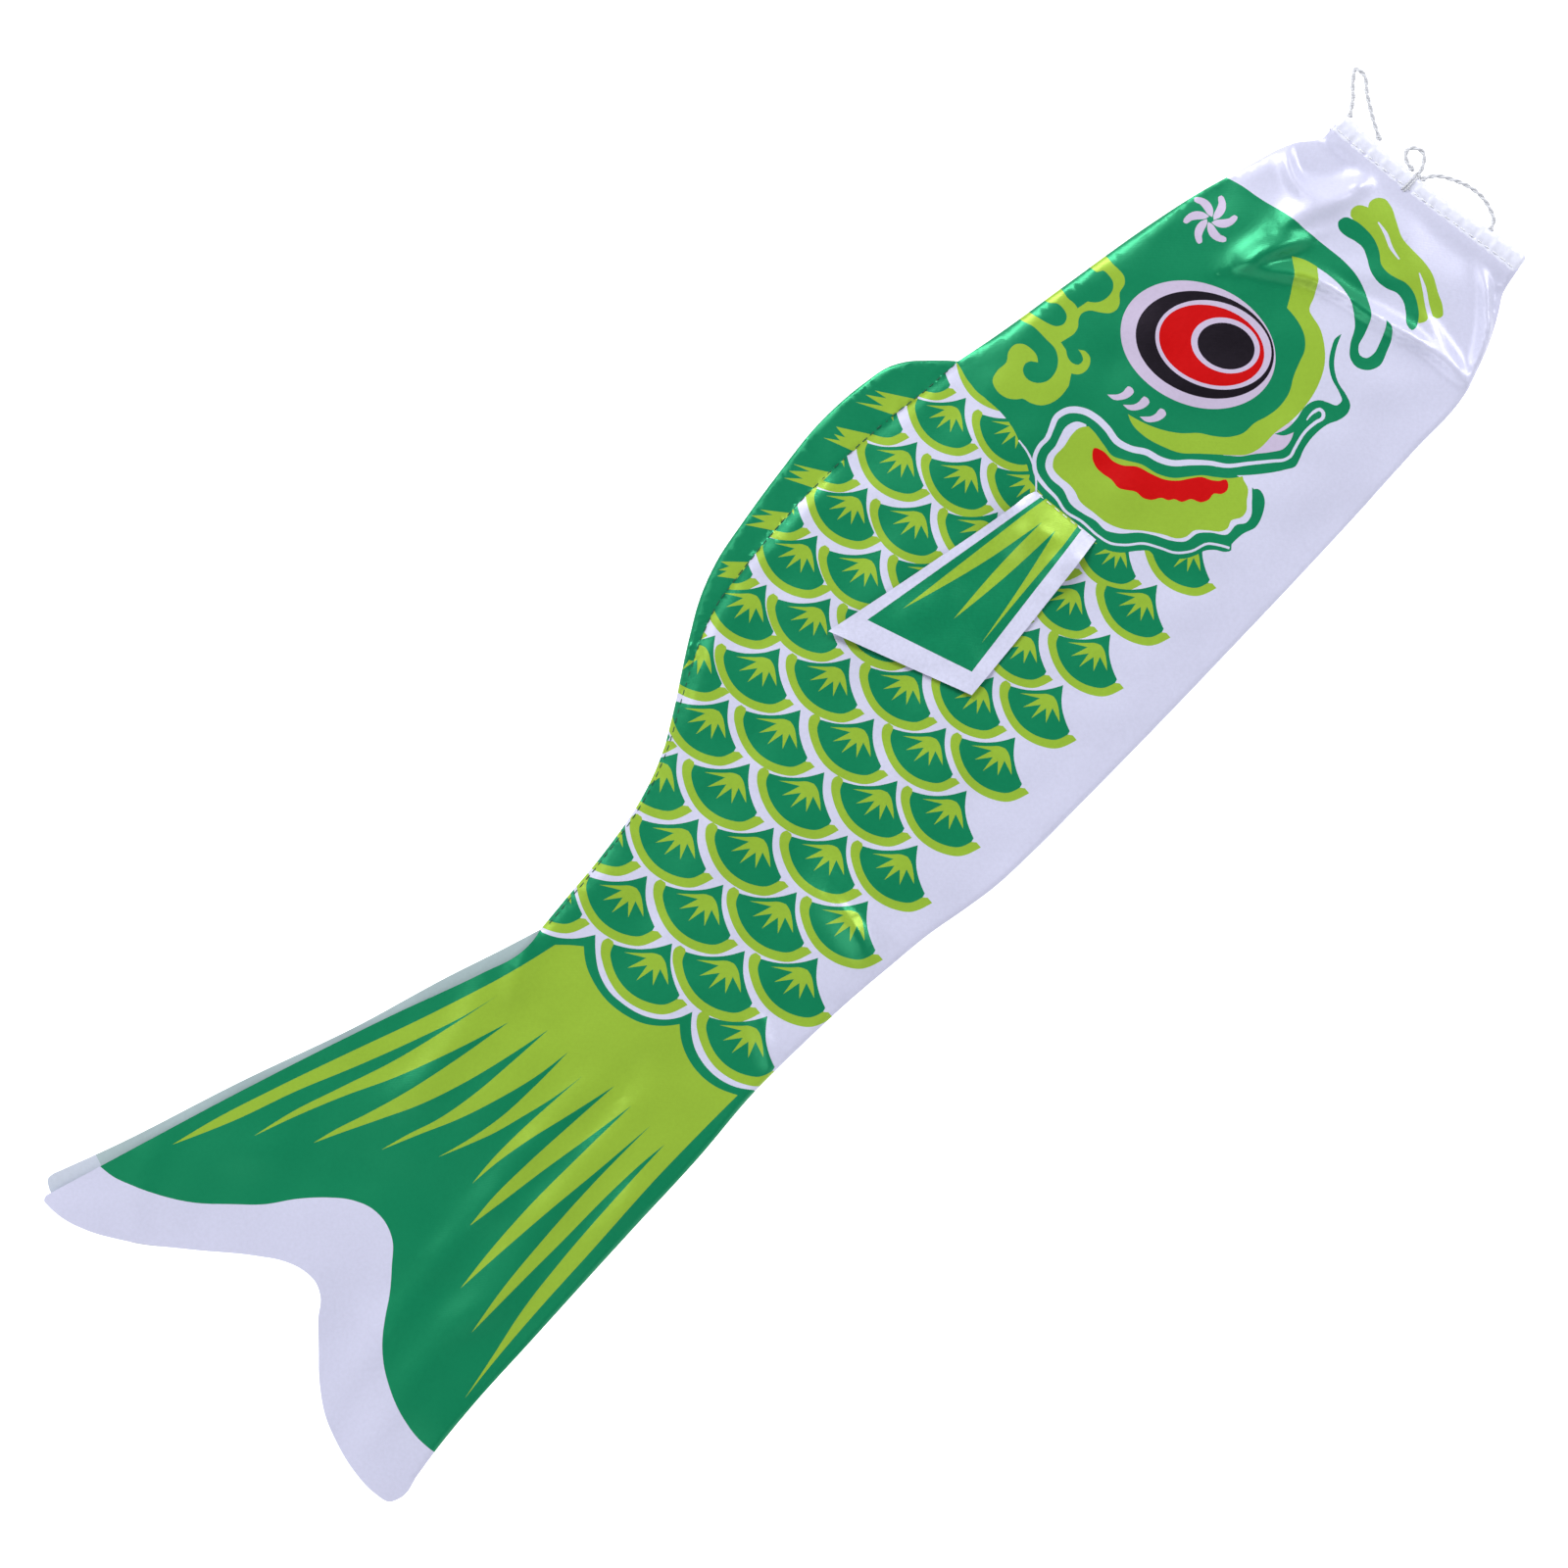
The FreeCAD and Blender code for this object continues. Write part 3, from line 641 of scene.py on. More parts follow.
# --- heights -----------------------------------------------------------------------------------
def wander(points, seed, length, count=7):
    """A smooth random field of about unit height, from waves about this long."""
    draw = np.random.default_rng(seed)
    total = np.zeros(len(points))
    for _ in range(count):
        way = draw.uniform(0, 2 * math.pi)
        number = 2 * math.pi / (length * draw.uniform(0.7, 1.5))
        phase = points @ (math.cos(way) * number, math.sin(way) * number)
        total += np.sin(phase + draw.uniform(0, 2 * math.pi))
    return total / math.sqrt(count)


FADE_START = 0.06      # how far up its fade a fold begins, as a share of its length


def ridge(points, line, width, height, skew):
    """A fold along a line: a rounded ridge that fades out at both ends."""
    line = smooth(line, step=2.0)
    travelled = along(line)
    best = np.full(len(points), 1e9)
    side = np.zeros(len(points))
    place = np.zeros(len(points))
    for i in range(len(line) - 1):
        way = line[i + 1] - line[i]
        t = (points - line[i]) @ way / (way @ way)
        t = np.clip(t, 0, 1)
        off = points - line[i] - t[:, None] * way
        gap = np.linalg.norm(off, axis=1)
        closer = gap < best
        best[closer] = gap[closer]
        side[closer] = np.sign(way[0] * off[closer, 1] - way[1] * off[closer, 0])
        place[closer] = (travelled[i] + t * np.linalg.norm(way))[closer]
    share = place / travelled[-1]
    fade = np.sin(math.pi * np.clip(FADE_START + (1 - 2 * FADE_START) * share, 0, 1)) ** 0.8
    wide = width * (1 + skew * side)
    return height * fade * np.exp(-((best / wide) ** 2))


def hollow(points, centre, half_sizes, turn, depth):
    """A dent with a flat bottom, an oval turned by some degrees."""
    c, s = math.cos(math.radians(turn)), math.sin(math.radians(turn))
    x, y = (points - centre).T
    u = (x * c + y * s) / half_sizes[0]
    v = (-x * s + y * c) / half_sizes[1]
    return -depth * np.exp(-((u * u + v * v) ** 2))


def rounded(gap, radius):
    """A quarter round: 0 at an edge, 1 from a radius inwards."""
    t = np.clip(gap / radius, 0, 1)
    return np.sqrt(np.maximum(1 - (1 - t) ** 2, 0))


# folds of the upper layer: line, width, height, skew (wider on the left of the line if above 0)
FOLDS = [
    # two folds that run from the brow to the snout
    ([(-64.5, 28.5), (-58, 26), (-50, 22.5), (-41, 17.5)], 4.0, 3.9, 0.45),
    ([(-62.5, 27), (-59, 21.5), (-55, 16), (-51, 10), (-47, -3), (-45.5, -15)], 2.4, 3.4, 0.3),
    ([(-46, -10), (-42.5, -24), (-40, -34), (-39, -51)], 2.4, 3.0, 0.3),
    ([(-44, 27), (-34, 23), (-24, 19), (-14, 17)], 4.4, 2.8, 0.4),
    ([(-38, -51), (-35.5, -40), (-33, -28)], 2.4, 1.5, 0.2),
    ([(-41, 7), (-37, -3), (-30, -12)], 4.0, 0.8, 0.0),
    # where the mouth's belly corner pulls the cloth in
    ([(-7.5, -28.5), (-13, -36.5), (-20, -43.5), (-28, -48.6), (-37, -52.5)], 2.0, 3.0, -0.3),
    ([(-9, -36.5), (-7.6, -39)], 1.2, 1.2, 0.0),
    # round the hollow behind the mouth's back corner
    ([(-22, 45), (-27, 39.5), (-30, 34), (-30.5, 26)], 2.2, 2.4, -0.3),
    ([(-19, 20), (-15, 17)], 2.0, 1.0, 0.0),
    ([(-14, 37), (-11.6, 30), (-10.8, 22)], 1.4, 1.1, 0.0),
    # body and stalk
    ([(-310, -45), (-305, -31), (-304, -15)], 4.2, 2.4, 0.3),
    ([(-299, -48), (-298, -20), (-301, 8)], 3.0, 0.5, 0.3),
    ([(-358, -45), (-353, -38), (-347, -27)], 3.0, 1.8, 0.0),
    ([(-325, -46), (-320, -38)], 3.4, 0.7, 0.0),
    ([(-378, 40), (-388, 38.5), (-402, 32)], 3.6, 1.8, 0.2),
    # tail
    ([(-400, 44), (-425, 36), (-455, 37)], 6.0, 1.7, 0.2),
    ([(-384, -6), (-420, -5), (-462, -8), (-500, -12), (-545, -20)], 5.0, 1.6, 0.0),
    ([(-388, -22), (-425, -23), (-470, -26), (-540, -34)], 5.5, 1.7, 0.0),
    ([(-412, -39), (-428, -41), (-440, -40)], 3.6, 1.7, 0.0),
    ([(-455, -30), (-472, -33), (-490, -31)], 5.0, 2.0, 0.0),
    ([(-395, 10), (-430, 14), (-470, 12)], 9.0, 1.0, 0.0),
    ([(-505, 84), (-525, 79), (-545, 62)], 5.0, 0.8, 0.0),
]
HOLLOWS = [  # centre, half sizes, turn in degrees, depth
    ((-19.5, 31), (8.0, 11.5), 20, 2.0),
    ((-12, -40), (7.0, 2.4), 31, 1.2),
    ((-400, -14), (16.0, 3.5), 8, 0.6),
]


REST_HEIGHT, RIM_HEIGHT, LEAST_HEIGHT = 1.5, 1.25, 0.5
HEAD_PUFF, TAIL_FALL = 1.3, 0.5
SWELL_WIDTH = 26.0     # how far from the fold and the seam the cloth has swelled
HEM_HEIGHT = 2.15      # where the cloth runs into the hem
FIN_ZONE_HEIGHT = 0.55
OPEN_FROM, OPEN_TO = 376, 386      # the back seam ends here, as far behind the mouth
# waves of the cloth: height, seed, length
WAVES = [(0.45, 5, 60), (0.22, 6, 24)]
UNDER_WAVE = (0.25, 15, 45)


def side_height(points, folded):
    """Height of a side's outer face above the middle plane."""
    x = points[:, 0]
    belly = distance(points, belly_line)
    seam = distance(points, seam_line)
    puff = REST_HEIGHT + HEAD_PUFF * ease(x, -230, -70) * (1 - ease(x, -26, -6))
    puff = puff - TAIL_FALL * ease(-x, 330, 400)
    swell = ease(belly, 0, SWELL_WIDTH) * ease(seam, 0, SWELL_WIDTH)
    high = RIM_HEIGHT + (puff - RIM_HEIGHT) * swell
    for size, seed, length in WAVES if folded else WAVES + [UNDER_WAVE]:
        high = high + size * wander(points, seed, length)
    if folded:
        for fold in FOLDS:
            high = high + ridge(points, *fold)
        for dent in HOLLOWS:
            high = high + hollow(points, *dent)
    high = np.maximum(high, LEAST_HEIGHT)
    hem = distance(points, smooth(HEM_BACK_EDGE))
    high = high + (HEM_HEIGHT - high) * (1 - ease(hem, 0.5, 6.0)) * (x > -40)
    # stitches pull the cloth in and pucker it
    sewn = 1 - ease(-x, OPEN_FROM, OPEN_TO)
    pinch = 1 - 0.55 * sewn * np.exp(-((seam / 2.6) ** 2))
    beat = np.sin(x * 1.35 + 0.8 * np.sin(x * 0.31))
    pucker = 0.16 * beat * np.exp(-seam / 3.0) * sewn * ease(-x, 140, 155)
    high = (high + pucker) * pinch
    high = np.where(inside(points, FIN_ZONE), FIN_ZONE_HEIGHT + 0.10 * wander(points, 9, 12), high)
    # rounded where the cloth is folded or sewn, a little open where it's loose
    back = distance(points, back_line)
    edge = rounded(belly, 2.0) * (sewn * rounded(back, 1.2) + (1 - sewn))
    loose = (1 - sewn) * (1 - np.exp(-belly / 9.0))
    return high * edge * (1 - 0.25 * (1 - sewn)) + 0.25 * loose


# --- cloth meshes ---------------------------------------------------------------------------------
FIN_ZONE = np.vstack([smooth(BACK_SEAM), smooth(BACK_FIN)[::-1][30:]])      # between seam and fin edge
INKS = ["white", "green", "lime", "red", "black", "lilac"]
NECK, STALK, OPENING = -70.0, -332.0, -398.0     # where a layer is cut into pieces
CUTS = (NECK, STALK, OPENING)
LEAST_GAP = 0.45       # between a loose point and the printed edges


def grid(low, high, spacing):
    """Points of a triangular grid over a plan box."""
    rows = np.arange(low[1], high[1], spacing * math.sqrt(3) / 2)
    columns = np.arange(low[0], high[0], spacing)
    x, y = np.meshgrid(columns, rows)
    x = x + (np.arange(len(rows)) % 2)[:, None] * spacing / 2
    return np.column_stack([x.ravel(), y.ravel()])


def inset(line, depth):
    """A line of points moved sideways, to its left."""
    way = np.gradient(line, axis=0)
    way /= np.linalg.norm(way, axis=1)[:, None]
    return line + np.column_stack([-way[:, 1], way[:, 0]]) * depth


def plan_mesh(borders, print_loops, cuts, spacing, rings=()):
    """Triangles over some borders, cut along printed edges. Returns points and triangles."""
    chains = [(loop, True) for loop in borders]
    whole = np.vstack(borders)
    low, high = whole.min(axis=0), whole.max(axis=0)
    keep_low, keep_high = low - 3, high + 3
    for loop in print_loops:
        chains.append((np.clip(loop, keep_low, keep_high), True))
    for x in cuts:
        ys = np.arange(low[1] - 1, high[1] + 1, 1.5)
        chains.append((np.column_stack([np.full(len(ys), x), ys]), False))
    points, edges = [], []
    for line, closed in chains:
        start, n = len(points), len(line)
        points += [Vector(p) for p in line]
        edges += [(start + i, start + (i + 1) % n) for i in range(n if closed else n - 1)]
    tree = kdtree.KDTree(len(points))
    for i, p in enumerate(points):
        tree.insert((p.x, p.y, 0), i)
    tree.balance()
    loose = list(rings)
    for low_x, high_x, gap in spacing:
        loose.append(grid((low_x, low[1]), (high_x, high[1]), gap))
    for p in np.vstack(loose):
        near = tree.find((p[0], p[1], 0))[2]
        if near > LEAST_GAP:
            points.append(Vector(p))
    made = delaunay_2d_cdt(points, edges, [], 0, 1e-4)
    return np.array([tuple(v) for v in made[0]]), np.array(made[2])


def face_up(plan, faces):
    """Turns triangles to face up, in place. Returns their centres and which have an area."""
    centres = plan[faces].mean(axis=1)
    a, b, c = (plan[faces[:, i]] for i in range(3))
    area = np.cross(b - a, c - a)
    faces[area < 0] = faces[area < 0][:, ::-1]
    return centres, np.abs(area) > 1e-9


def paint(centres, regions):
    """The ink of each triangle: the last printed patch that holds its centre."""
    ink = np.zeros(len(centres), int)
    for name, loop in regions:
        ink[inside(centres, loop)] = INKS.index(name)
    return ink


def vertex_normals(verts, faces):
    """Unit normals of a triangle mesh's vertices, weighted by corner angle."""
    result = np.zeros_like(verts)
    a, b, c = (verts[faces[:, i]] for i in range(3))
    normal = np.cross(b - a, c - a)
    normal /= np.maximum(np.linalg.norm(normal, axis=1), 1e-12)[:, None]
    for i in range(3):
        p, q, r = verts[faces[:, i]], verts[faces[:, (i + 1) % 3]], verts[faces[:, (i + 2) % 3]]
        u, v = q - p, r - p
        cosine = (u * v).sum(1) / np.maximum(np.linalg.norm(u, axis=1) * np.linalg.norm(v, axis=1), 1e-12)
        np.add.at(result, faces[:, i], normal * np.arccos(np.clip(cosine, -1, 1))[:, None])
    return result / np.maximum(np.linalg.norm(result, axis=1), 1e-12)[:, None]


def mesh_object(name, verts, faces, inks, materials, normals=None):
    """A mesh object from arrays in millimetres."""
    mesh = bpy.data.meshes.new(name)
    mesh.from_pydata((verts * MM).tolist(), [], [list(map(int, f)) for f in faces])
    for m in materials:
        mesh.materials.append(m)
    mesh.polygons.foreach_set("material_index", np.array(inks, np.int32))
    mesh.polygons.foreach_set("use_smooth", np.ones(len(faces), bool))
    mesh.update()
    if normals is not None:
        mesh.normals_split_custom_set_from_vertices(normals.tolist())
    obj = bpy.data.objects.new(name, mesh)
    bpy.context.scene.collection.objects.link(obj)
    return obj


def cloth(name, plan, faces, ink, outer, inner, chosen, materials, flip, open_edges):
    """One piece of a layer: outer face, paler inner face, and a rim round its open edges."""
    picked = faces[chosen]
    used, renumbered = np.unique(picked, return_inverse=True)
    picked = renumbered.reshape(picked.shape)
    n = len(used)
    top = np.column_stack([plan[used], outer[0][used]])
    low = np.column_stack([plan[used], inner[0][used]])
    normals = np.vstack([outer[1][used], inner[1][used]])
    down = picked[:, ::-1] + n
    rims, rim_inks = [], []
    if open_edges is not None:
        loose = open_edges[used]
        sides = {}
        for f, tri in enumerate(picked):
            for i in range(3):
                a, b = int(tri[i]), int(tri[(i + 1) % 3])
                if loose[a] and loose[b]:
                    sides[(a, b)] = f
        for (a, b), f in sides.items():
            if (b, a) not in sides:
                rims += [(b, a, a + n), (b, a + n, b + n)]
                rim_inks += [ink[chosen][f]] * 2
    all_faces = np.vstack([picked, down] + ([np.array(rims)] if rims else []))
    inks = np.concatenate([ink[chosen], ink[chosen] + len(INKS), np.array(rim_inks, int)])
    verts = np.vstack([top, low])
    if flip:
        verts[:, 2] *= -1
        normals = normals * (1, 1, -1)
        all_faces = all_faces[:, ::-1]
    return mesh_object(name, verts, all_faces, inks, materials, normals)


# --- materials -----------------------------------------------------------------------------------
def colour(r, g, b):
    """Linear colour from screen values of 0 to 255."""
    return [((c / 255 + 0.055) / 1.055) ** 2.4 if c > 10 else c / 255 / 12.92 for c in (r, g, b)] + [1.0]


class Nodes:
    """A small builder of material nodes."""

    def __init__(self, name):
        self.material = bpy.data.materials.new(name)
        self.material.use_nodes = True
        self.tree = self.material.node_tree
        self.shader = self.tree.nodes["Principled BSDF"]

    def add(self, kind, **values):
        node = self.tree.nodes.new("ShaderNode" + kind)
        for key, value in values.items():
            if hasattr(node, key):
                setattr(node, key, value)
            else:
                node.inputs[key.replace("_", " ")].default_value = value
        return node

    def link(self, source, target, name):
        self.tree.links.new(source, target.inputs[name])

    def place(self):
        return self.add("TexCoord").outputs["Object"]

    def pattern(self, place, kind, **values):
        """A texture laid out in object space. Returns its strength."""
        node = self.add(kind, **values)
        self.link(place, node, "Vector")
        return node.outputs["Fac"]

    def tone(self, source, low, high, start=0.0, end=1.0):
        """Colours the surface between two tones by a pattern."""
        ramp = self.add("ValToRGB")
        ramp.color_ramp.elements[0].position = start
        ramp.color_ramp.elements[1].position = end
        ramp.color_ramp.elements[0].color = low
        ramp.color_ramp.elements[1].color = high
        self.link(source, ramp, "Fac")
        self.link(ramp.outputs["Color"], self.shader, "Base Color")

    def sum(self, source, share, other):
        """One pattern times a share, plus another."""
        total = self.add("Math", operation="MULTIPLY_ADD")
        self.link(source, total, 0)
        total.inputs[1].default_value = share
        self.link(other, total, 2)
        return total.outputs[0]

    def emboss(self, source, strength, depth):
        """Raises the surface by a pattern."""
        bump = self.add("Bump", Strength=strength, Distance=depth)
        self.link(source, bump, "Height")
        self.link(bump.outputs["Normal"], self.shader, "Normal")

    def set(self, **values):
        for key, value in values.items():
            self.shader.inputs[key.replace("_", " ")].default_value = value


def shade(base, factor):
    """A colour made darker or lighter."""
    return [min(1, c * factor) for c in base[:3]] + [1]


def satin(name, base, gloss=0.31, bright=1.06, dark=0.93, weave=0.08):
    """Satin cloth: a fine slanting weave, a soft sheen and slightly uneven ink."""
    n = Nodes(name)
    place = n.place()
    mottle = n.pattern(place, "TexNoise", Scale=900.0, Detail=3.0)
    patch = n.pattern(place, "TexNoise", Scale=38.0, Detail=2.0)
    half = n.add("Math", operation="MULTIPLY")
    n.link(patch, half, 0)
    half.inputs[1].default_value = 0.38
    uneven = n.sum(mottle, 0.62, half.outputs[0])
    n.tone(uneven, shade(base, dark), shade(base, bright), 0.22, 0.78)
    threads = n.pattern(place, "TexWave", Scale=900.0, Distortion=2.0, Detail=2.0,
                        bands_direction="DIAGONAL")
    n.emboss(n.sum(threads, 0.22, mottle), weave, 0.0004)
    rough = n.add("MapRange")
    rough.inputs["To Min"].default_value = gloss - 0.03
    rough.inputs["To Max"].default_value = gloss + 0.05
    n.link(mottle, rough, "Value")
    n.link(rough.outputs["Result"], n.shader, "Roughness")
    strongest = max(base[:3])
    shine = 0.8 if strongest > 0.05 else 0.35
    tint = [0.15 + 0.85 * c / strongest for c in base[:3]] + [1]
    n.set(IOR=1.7, Specular_IOR_Level=shine, Specular_Tint=tint, Sheen_Weight=0.05, Sheen_Roughness=0.4)
    return n.material


def thread(name, base, twist=700.0):
    """Spun thread or cord: slanting strands, slightly fuzzy."""
    n = Nodes(name)
    strands = n.pattern(n.place(), "TexWave", Scale=twist, Distortion=0.6, Detail=2.0,
                        bands_direction="DIAGONAL")
    n.tone(strands, shade(base, 0.8), base)
    n.emboss(strands, 0.3, 0.0003)
    n.set(Roughness=0.5)
    return n.material


def plastic(name, base):
    """Milky plastic strap with faint drawing lines."""
    n = Nodes(name)
    lines = n.pattern(n.place(), "TexNoise", Scale=220.0, Detail=4.0)
    n.tone(lines, shade(base, 0.9), base)
    n.set(Roughness=0.3)
    return n.material


INK_COLOURS = {
    "white": colour(202, 203, 226),
    "green": colour(14, 119, 80),
    "lime": colour(143, 177, 55),
    "red": colour(192, 9, 12),
    "black": colour(16, 13, 18),
    "lilac": colour(192, 180, 206),
}
PALE = colour(186, 196, 206)


def paler(base, share=0.72):
    """The print as it shows through on the cloth's inner face."""
    return [a + (b - a) * share for a, b in zip(base[:3], PALE)] + [1.0]


INSIDE_GLOSS = 0.5
body_inks = [satin("satin_" + k, INK_COLOURS[k]) for k in INKS]
body_inks += [satin("inside_" + k, paler(INK_COLOURS[k]), INSIDE_GLOSS) for k in INKS]
fin_inks = [satin("fin_" + k, INK_COLOURS[k], 0.30, 1.18, 0.92, 0.12) for k in INKS]
fin_inks += [satin("fin_inside_" + k, paler(INK_COLOURS[k]), INSIDE_GLOSS) for k in INKS]
white_satin = satin("white_satin", colour(222, 224, 240), 0.33)
white_thread = thread("white_thread", colour(246, 247, 252))
green_thread = thread("green_thread", colour(16, 84, 60))
cord_white = thread("cord_white", colour(214, 216, 222), 500.0)
strap_plastic = plastic("strap_plastic", colour(222, 224, 230))

# --- both sides of the fish --------------------------------------------------------------------------
FINE, COARSE = 1.7, 3.0            # mesh spacing in front of and behind the neck
RIM_ROWS, BACK_ROWS, SEAM_ROWS = (0.15, 0.5, 1.1, 2.0), (0.12, 0.4, 0.9), (0, 0.8, 1.8, 3.0)
regions = list(body_print())
rings = [inset(belly_line, depth) for depth in RIM_ROWS]
rings += [inset(back_line, depth) for depth in BACK_ROWS]
rings += [inset(smooth(BACK_SEAM, step=1.5), depth) for depth in SEAM_ROWS]
plan, faces = plan_mesh([UPPER, LOWER], [loop for _, loop in regions], CUTS,
                        [(-75, 4, FINE), (-560, -75, COARSE)], rings)
centres, real = face_up(plan, faces)
ink = paint(centres, regions)


ON_BORDER, ON_LINE = 0.02, 0.05    # how near counts as lying on a border or a line


def layer(border, folded, flip, pieces):
    """One whole layer, cut into the pieces that bend at different joints."""
    held = inside(centres, border) & real
    outer_z = side_height(plan, folded)
    inner_z = np.maximum(outer_z - CLOTH_T, 0.06 * outer_z)
    whole = faces[held]
    outer_n = vertex_normals(np.column_stack([plan, outer_z]), whole)
    inner_n = -vertex_normals(np.column_stack([plan, inner_z]), whole)
    on_border = distance(plan, np.vstack([border, border[:1]])) < ON_BORDER
    sewn_back = (distance(plan, back_line) < ON_LINE) & (plan[:, 0] > -OPEN_FROM)
    folded_belly = distance(plan, belly_line) < ON_LINE
    open_edge = on_border & ~sewn_back & ~folded_belly
    made = []
    for name, low_x, high_x in pieces:
        chosen = held & (centres[:, 0] > low_x) & (centres[:, 0] < high_x)
        made.append(cloth(name, plan, faces, ink, (outer_z, outer_n), (inner_z, inner_n), chosen,
                          body_inks, flip, open_edge))
    return made


FAR = 1000
right_body, right_tail = layer(UPPER, True, False, [("right_body", STALK, FAR),
                                                    ("right_tail", -FAR, STALK)])
left_neck, left_body, left_stalk, left_tail = layer(
    LOWER, False, True,
    [("left_neck", NECK, FAR), ("left_body", STALK, NECK), ("left_stalk", OPENING, STALK),
     ("left_tail", -FAR, OPENING)])

# where one body hands over to the next, in metres
BODY_BEND = ((-0.265, 0, 0), (-0.295, 0, 0))
TAIL_BEND = ((-0.372, 0, 0), (-0.398, 0, 0))
PART_BEND = ((-0.398, 0, 0), (-0.445, 0, 0))
LIP_BEND = ((-0.070, 0, 0), (-0.006, 0, 0))


def set_weights(obj, weights):
    """Overwrites how much each vertex follows the second body of its blend."""
    obj.data.attributes["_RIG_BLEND"].data.foreach_set("value", weights.astype(np.float32))


def plan_of(obj):
    """The vertices of an object in millimetres."""
    count = len(obj.data.vertices)
    co = np.empty(count * 3)
    obj.data.vertices.foreach_get("co", co)
    return co.reshape(-1, 3) / MM


def lip_share(points):
    """How far a point of the lower lip opens: none at the creased ends, all of it in the middle."""
    belly = distance(points[:, :2], belly_line)
    back = distance(points[:, :2], back_line)
    across = np.clip(belly / (belly + back + 1e-9), 0, 1)
    return np.sin(math.pi * across) ** 0.8


for piece, first, second, bend, nodes in (
    (right_body, "front", "rear", BODY_BEND, ("body_tube_front", "body_tube_rear")),
    (right_tail, "rear", "tail", TAIL_BEND, ("right_tail_layer",)),
    (left_body, "front", "rear", BODY_BEND, ("body_tube_front", "body_tube_rear")),
    (left_stalk, "rear", "tail", TAIL_BEND, ("body_tube_rear", "left_tail_layer")),
    (left_tail, "tail", "left_tail", PART_BEND, ("left_tail_layer",)),
    (left_neck, "front", "left_lip", LIP_BEND, ("body_tube_front",)),
):
    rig.blend(piece, first, second, *bend)
    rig.replaces(piece, *nodes)
    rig.slot(piece, "printed_satin")
neck_points = plan_of(left_neck)
set_weights(left_neck, ease(neck_points[:, 0], NECK, -8) * lip_share(neck_points))


# --- breast fins ----------------------------------------------------------------------------------------
FIN_ROOT = smooth([(-159.4, -0.4), (-160.2, 10), (-161.5, 24.6)])
FIN_T = 0.34
CURL_HEIGHT = 3.2
LEAST_LIFT = 0.14                  # clear gap between fin and body


def fin_height(points, folded):
    """Lower face of a breast fin: up in a curl off its seam, then down to lie on the body."""
    root = distance(points, FIN_ROOT)
    y = points[:, 1]
    lift = 0.16 + 0.34 * ease(root, 0, 3)
    curl = CURL_HEIGHT * ease(root, 0.0, 10.5) * (1 - ease(root, 11, 30))
    back_corner = 1.5 * ease(root, 58, 84) * ease(y, 10, 42)
    belly_corner = 0.9 * ease(root, 50, 70) * ease(-y, -6, 8)
    lift = lift + curl + back_corner + belly_corner
    lift = lift + 0.22 * ease(root, 4, 14) * (1 + wander(points, 21, 16))
    ripple = 0.5 * np.exp(-((root - 14) / 7) ** 2) * np.sin(y * 0.42 + 0.7)
    return side_height(points, folded) + np.maximum(lift + ripple * ease(root, 2, 9), LEAST_LIFT)


def breast_fin(name, folded, flip):
    """One fin: a printed satin trapezoid with an unprinted border."""
    border = outline(*FIN_OUTLINE)
    patches = list(fin_print())
    rows = [inset(smooth([(-161.4, 24), (-160.2, 10), (-159.6, 0)]), -d) for d in (0.6, 1.4, 2.4, 3.6)]
    fin_plan, fin_faces = plan_mesh([border], [loop for _, loop in patches], (),
                                    [(-244, -158, FINE)], rows)
    middle, real_faces = face_up(fin_plan, fin_faces)
    held = inside(middle, border) & real_faces
    low = fin_height(fin_plan, folded)
    high = low + FIN_T
    top_n = vertex_normals(np.column_stack([fin_plan, high]), fin_faces[held])
    low_n = -vertex_normals(np.column_stack([fin_plan, low]), fin_faces[held])
    on_border = distance(fin_plan, np.vstack([border, border[:1]])) < ON_BORDER
    fin = cloth(name, fin_plan, fin_faces, paint(middle, patches), (high, top_n), (low, low_n), held,
                fin_inks, flip, on_border)
    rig.slot(fin, "fin_satin")
    return fin


# --- thread and cord ----------------------------------------------------------------------------------
def skin(count, around):
    """Faces of a tube of rings of vertices, closed at both ends."""
    faces = []
    for i in range(count - 1):
        for j in range(around):
            a, b = i * around + j, i * around + (j + 1) % around
            faces.append((a, b, b + around, a + around))
    faces.append(tuple(reversed(range(around))))
    faces.append(tuple(range((count - 1) * around, count * around)))
    return faces


def inside_out(faces):
    return [tuple(reversed(face)) for face in faces]


def squarer(wave, power):
    """A sine or cosine wave with fuller shoulders."""
    return np.sign(wave) * np.abs(wave) ** power


def tube(path, radii, sides=6):
    """Vertices and faces of a round tube along a path, closed at both ends."""
    path = np.array(path, float)
    way = np.gradient(path, axis=0)
    way /= np.linalg.norm(way, axis=1)[:, None]
    across = np.cross(way, (0.0, 0.0, 1.0))
    across += np.cross(way, (0.0, 1.0, 0.0)) * (np.linalg.norm(across, axis=1) < 1e-3)[:, None]
    for i in range(1, len(path)):
        across[i] = across[i - 1] - way[i] * (across[i - 1] @ way[i])
        across[i] /= np.linalg.norm(across[i])
    across[0] = across[1] - way[0] * (across[1] @ way[0])
    across[0] /= np.linalg.norm(across[0])
    up = np.cross(across, way)
    t = np.arange(sides) / sides * 2 * math.pi
    radii = np.broadcast_to(radii, len(path))
    rings = []
    for centre, radius, u, v in zip(path, radii, across, up):
        rings.append(centre + radius * (np.cos(t)[:, None] * u + np.sin(t)[:, None] * v))
    return np.vstack(rings), skin(len(path), sides)


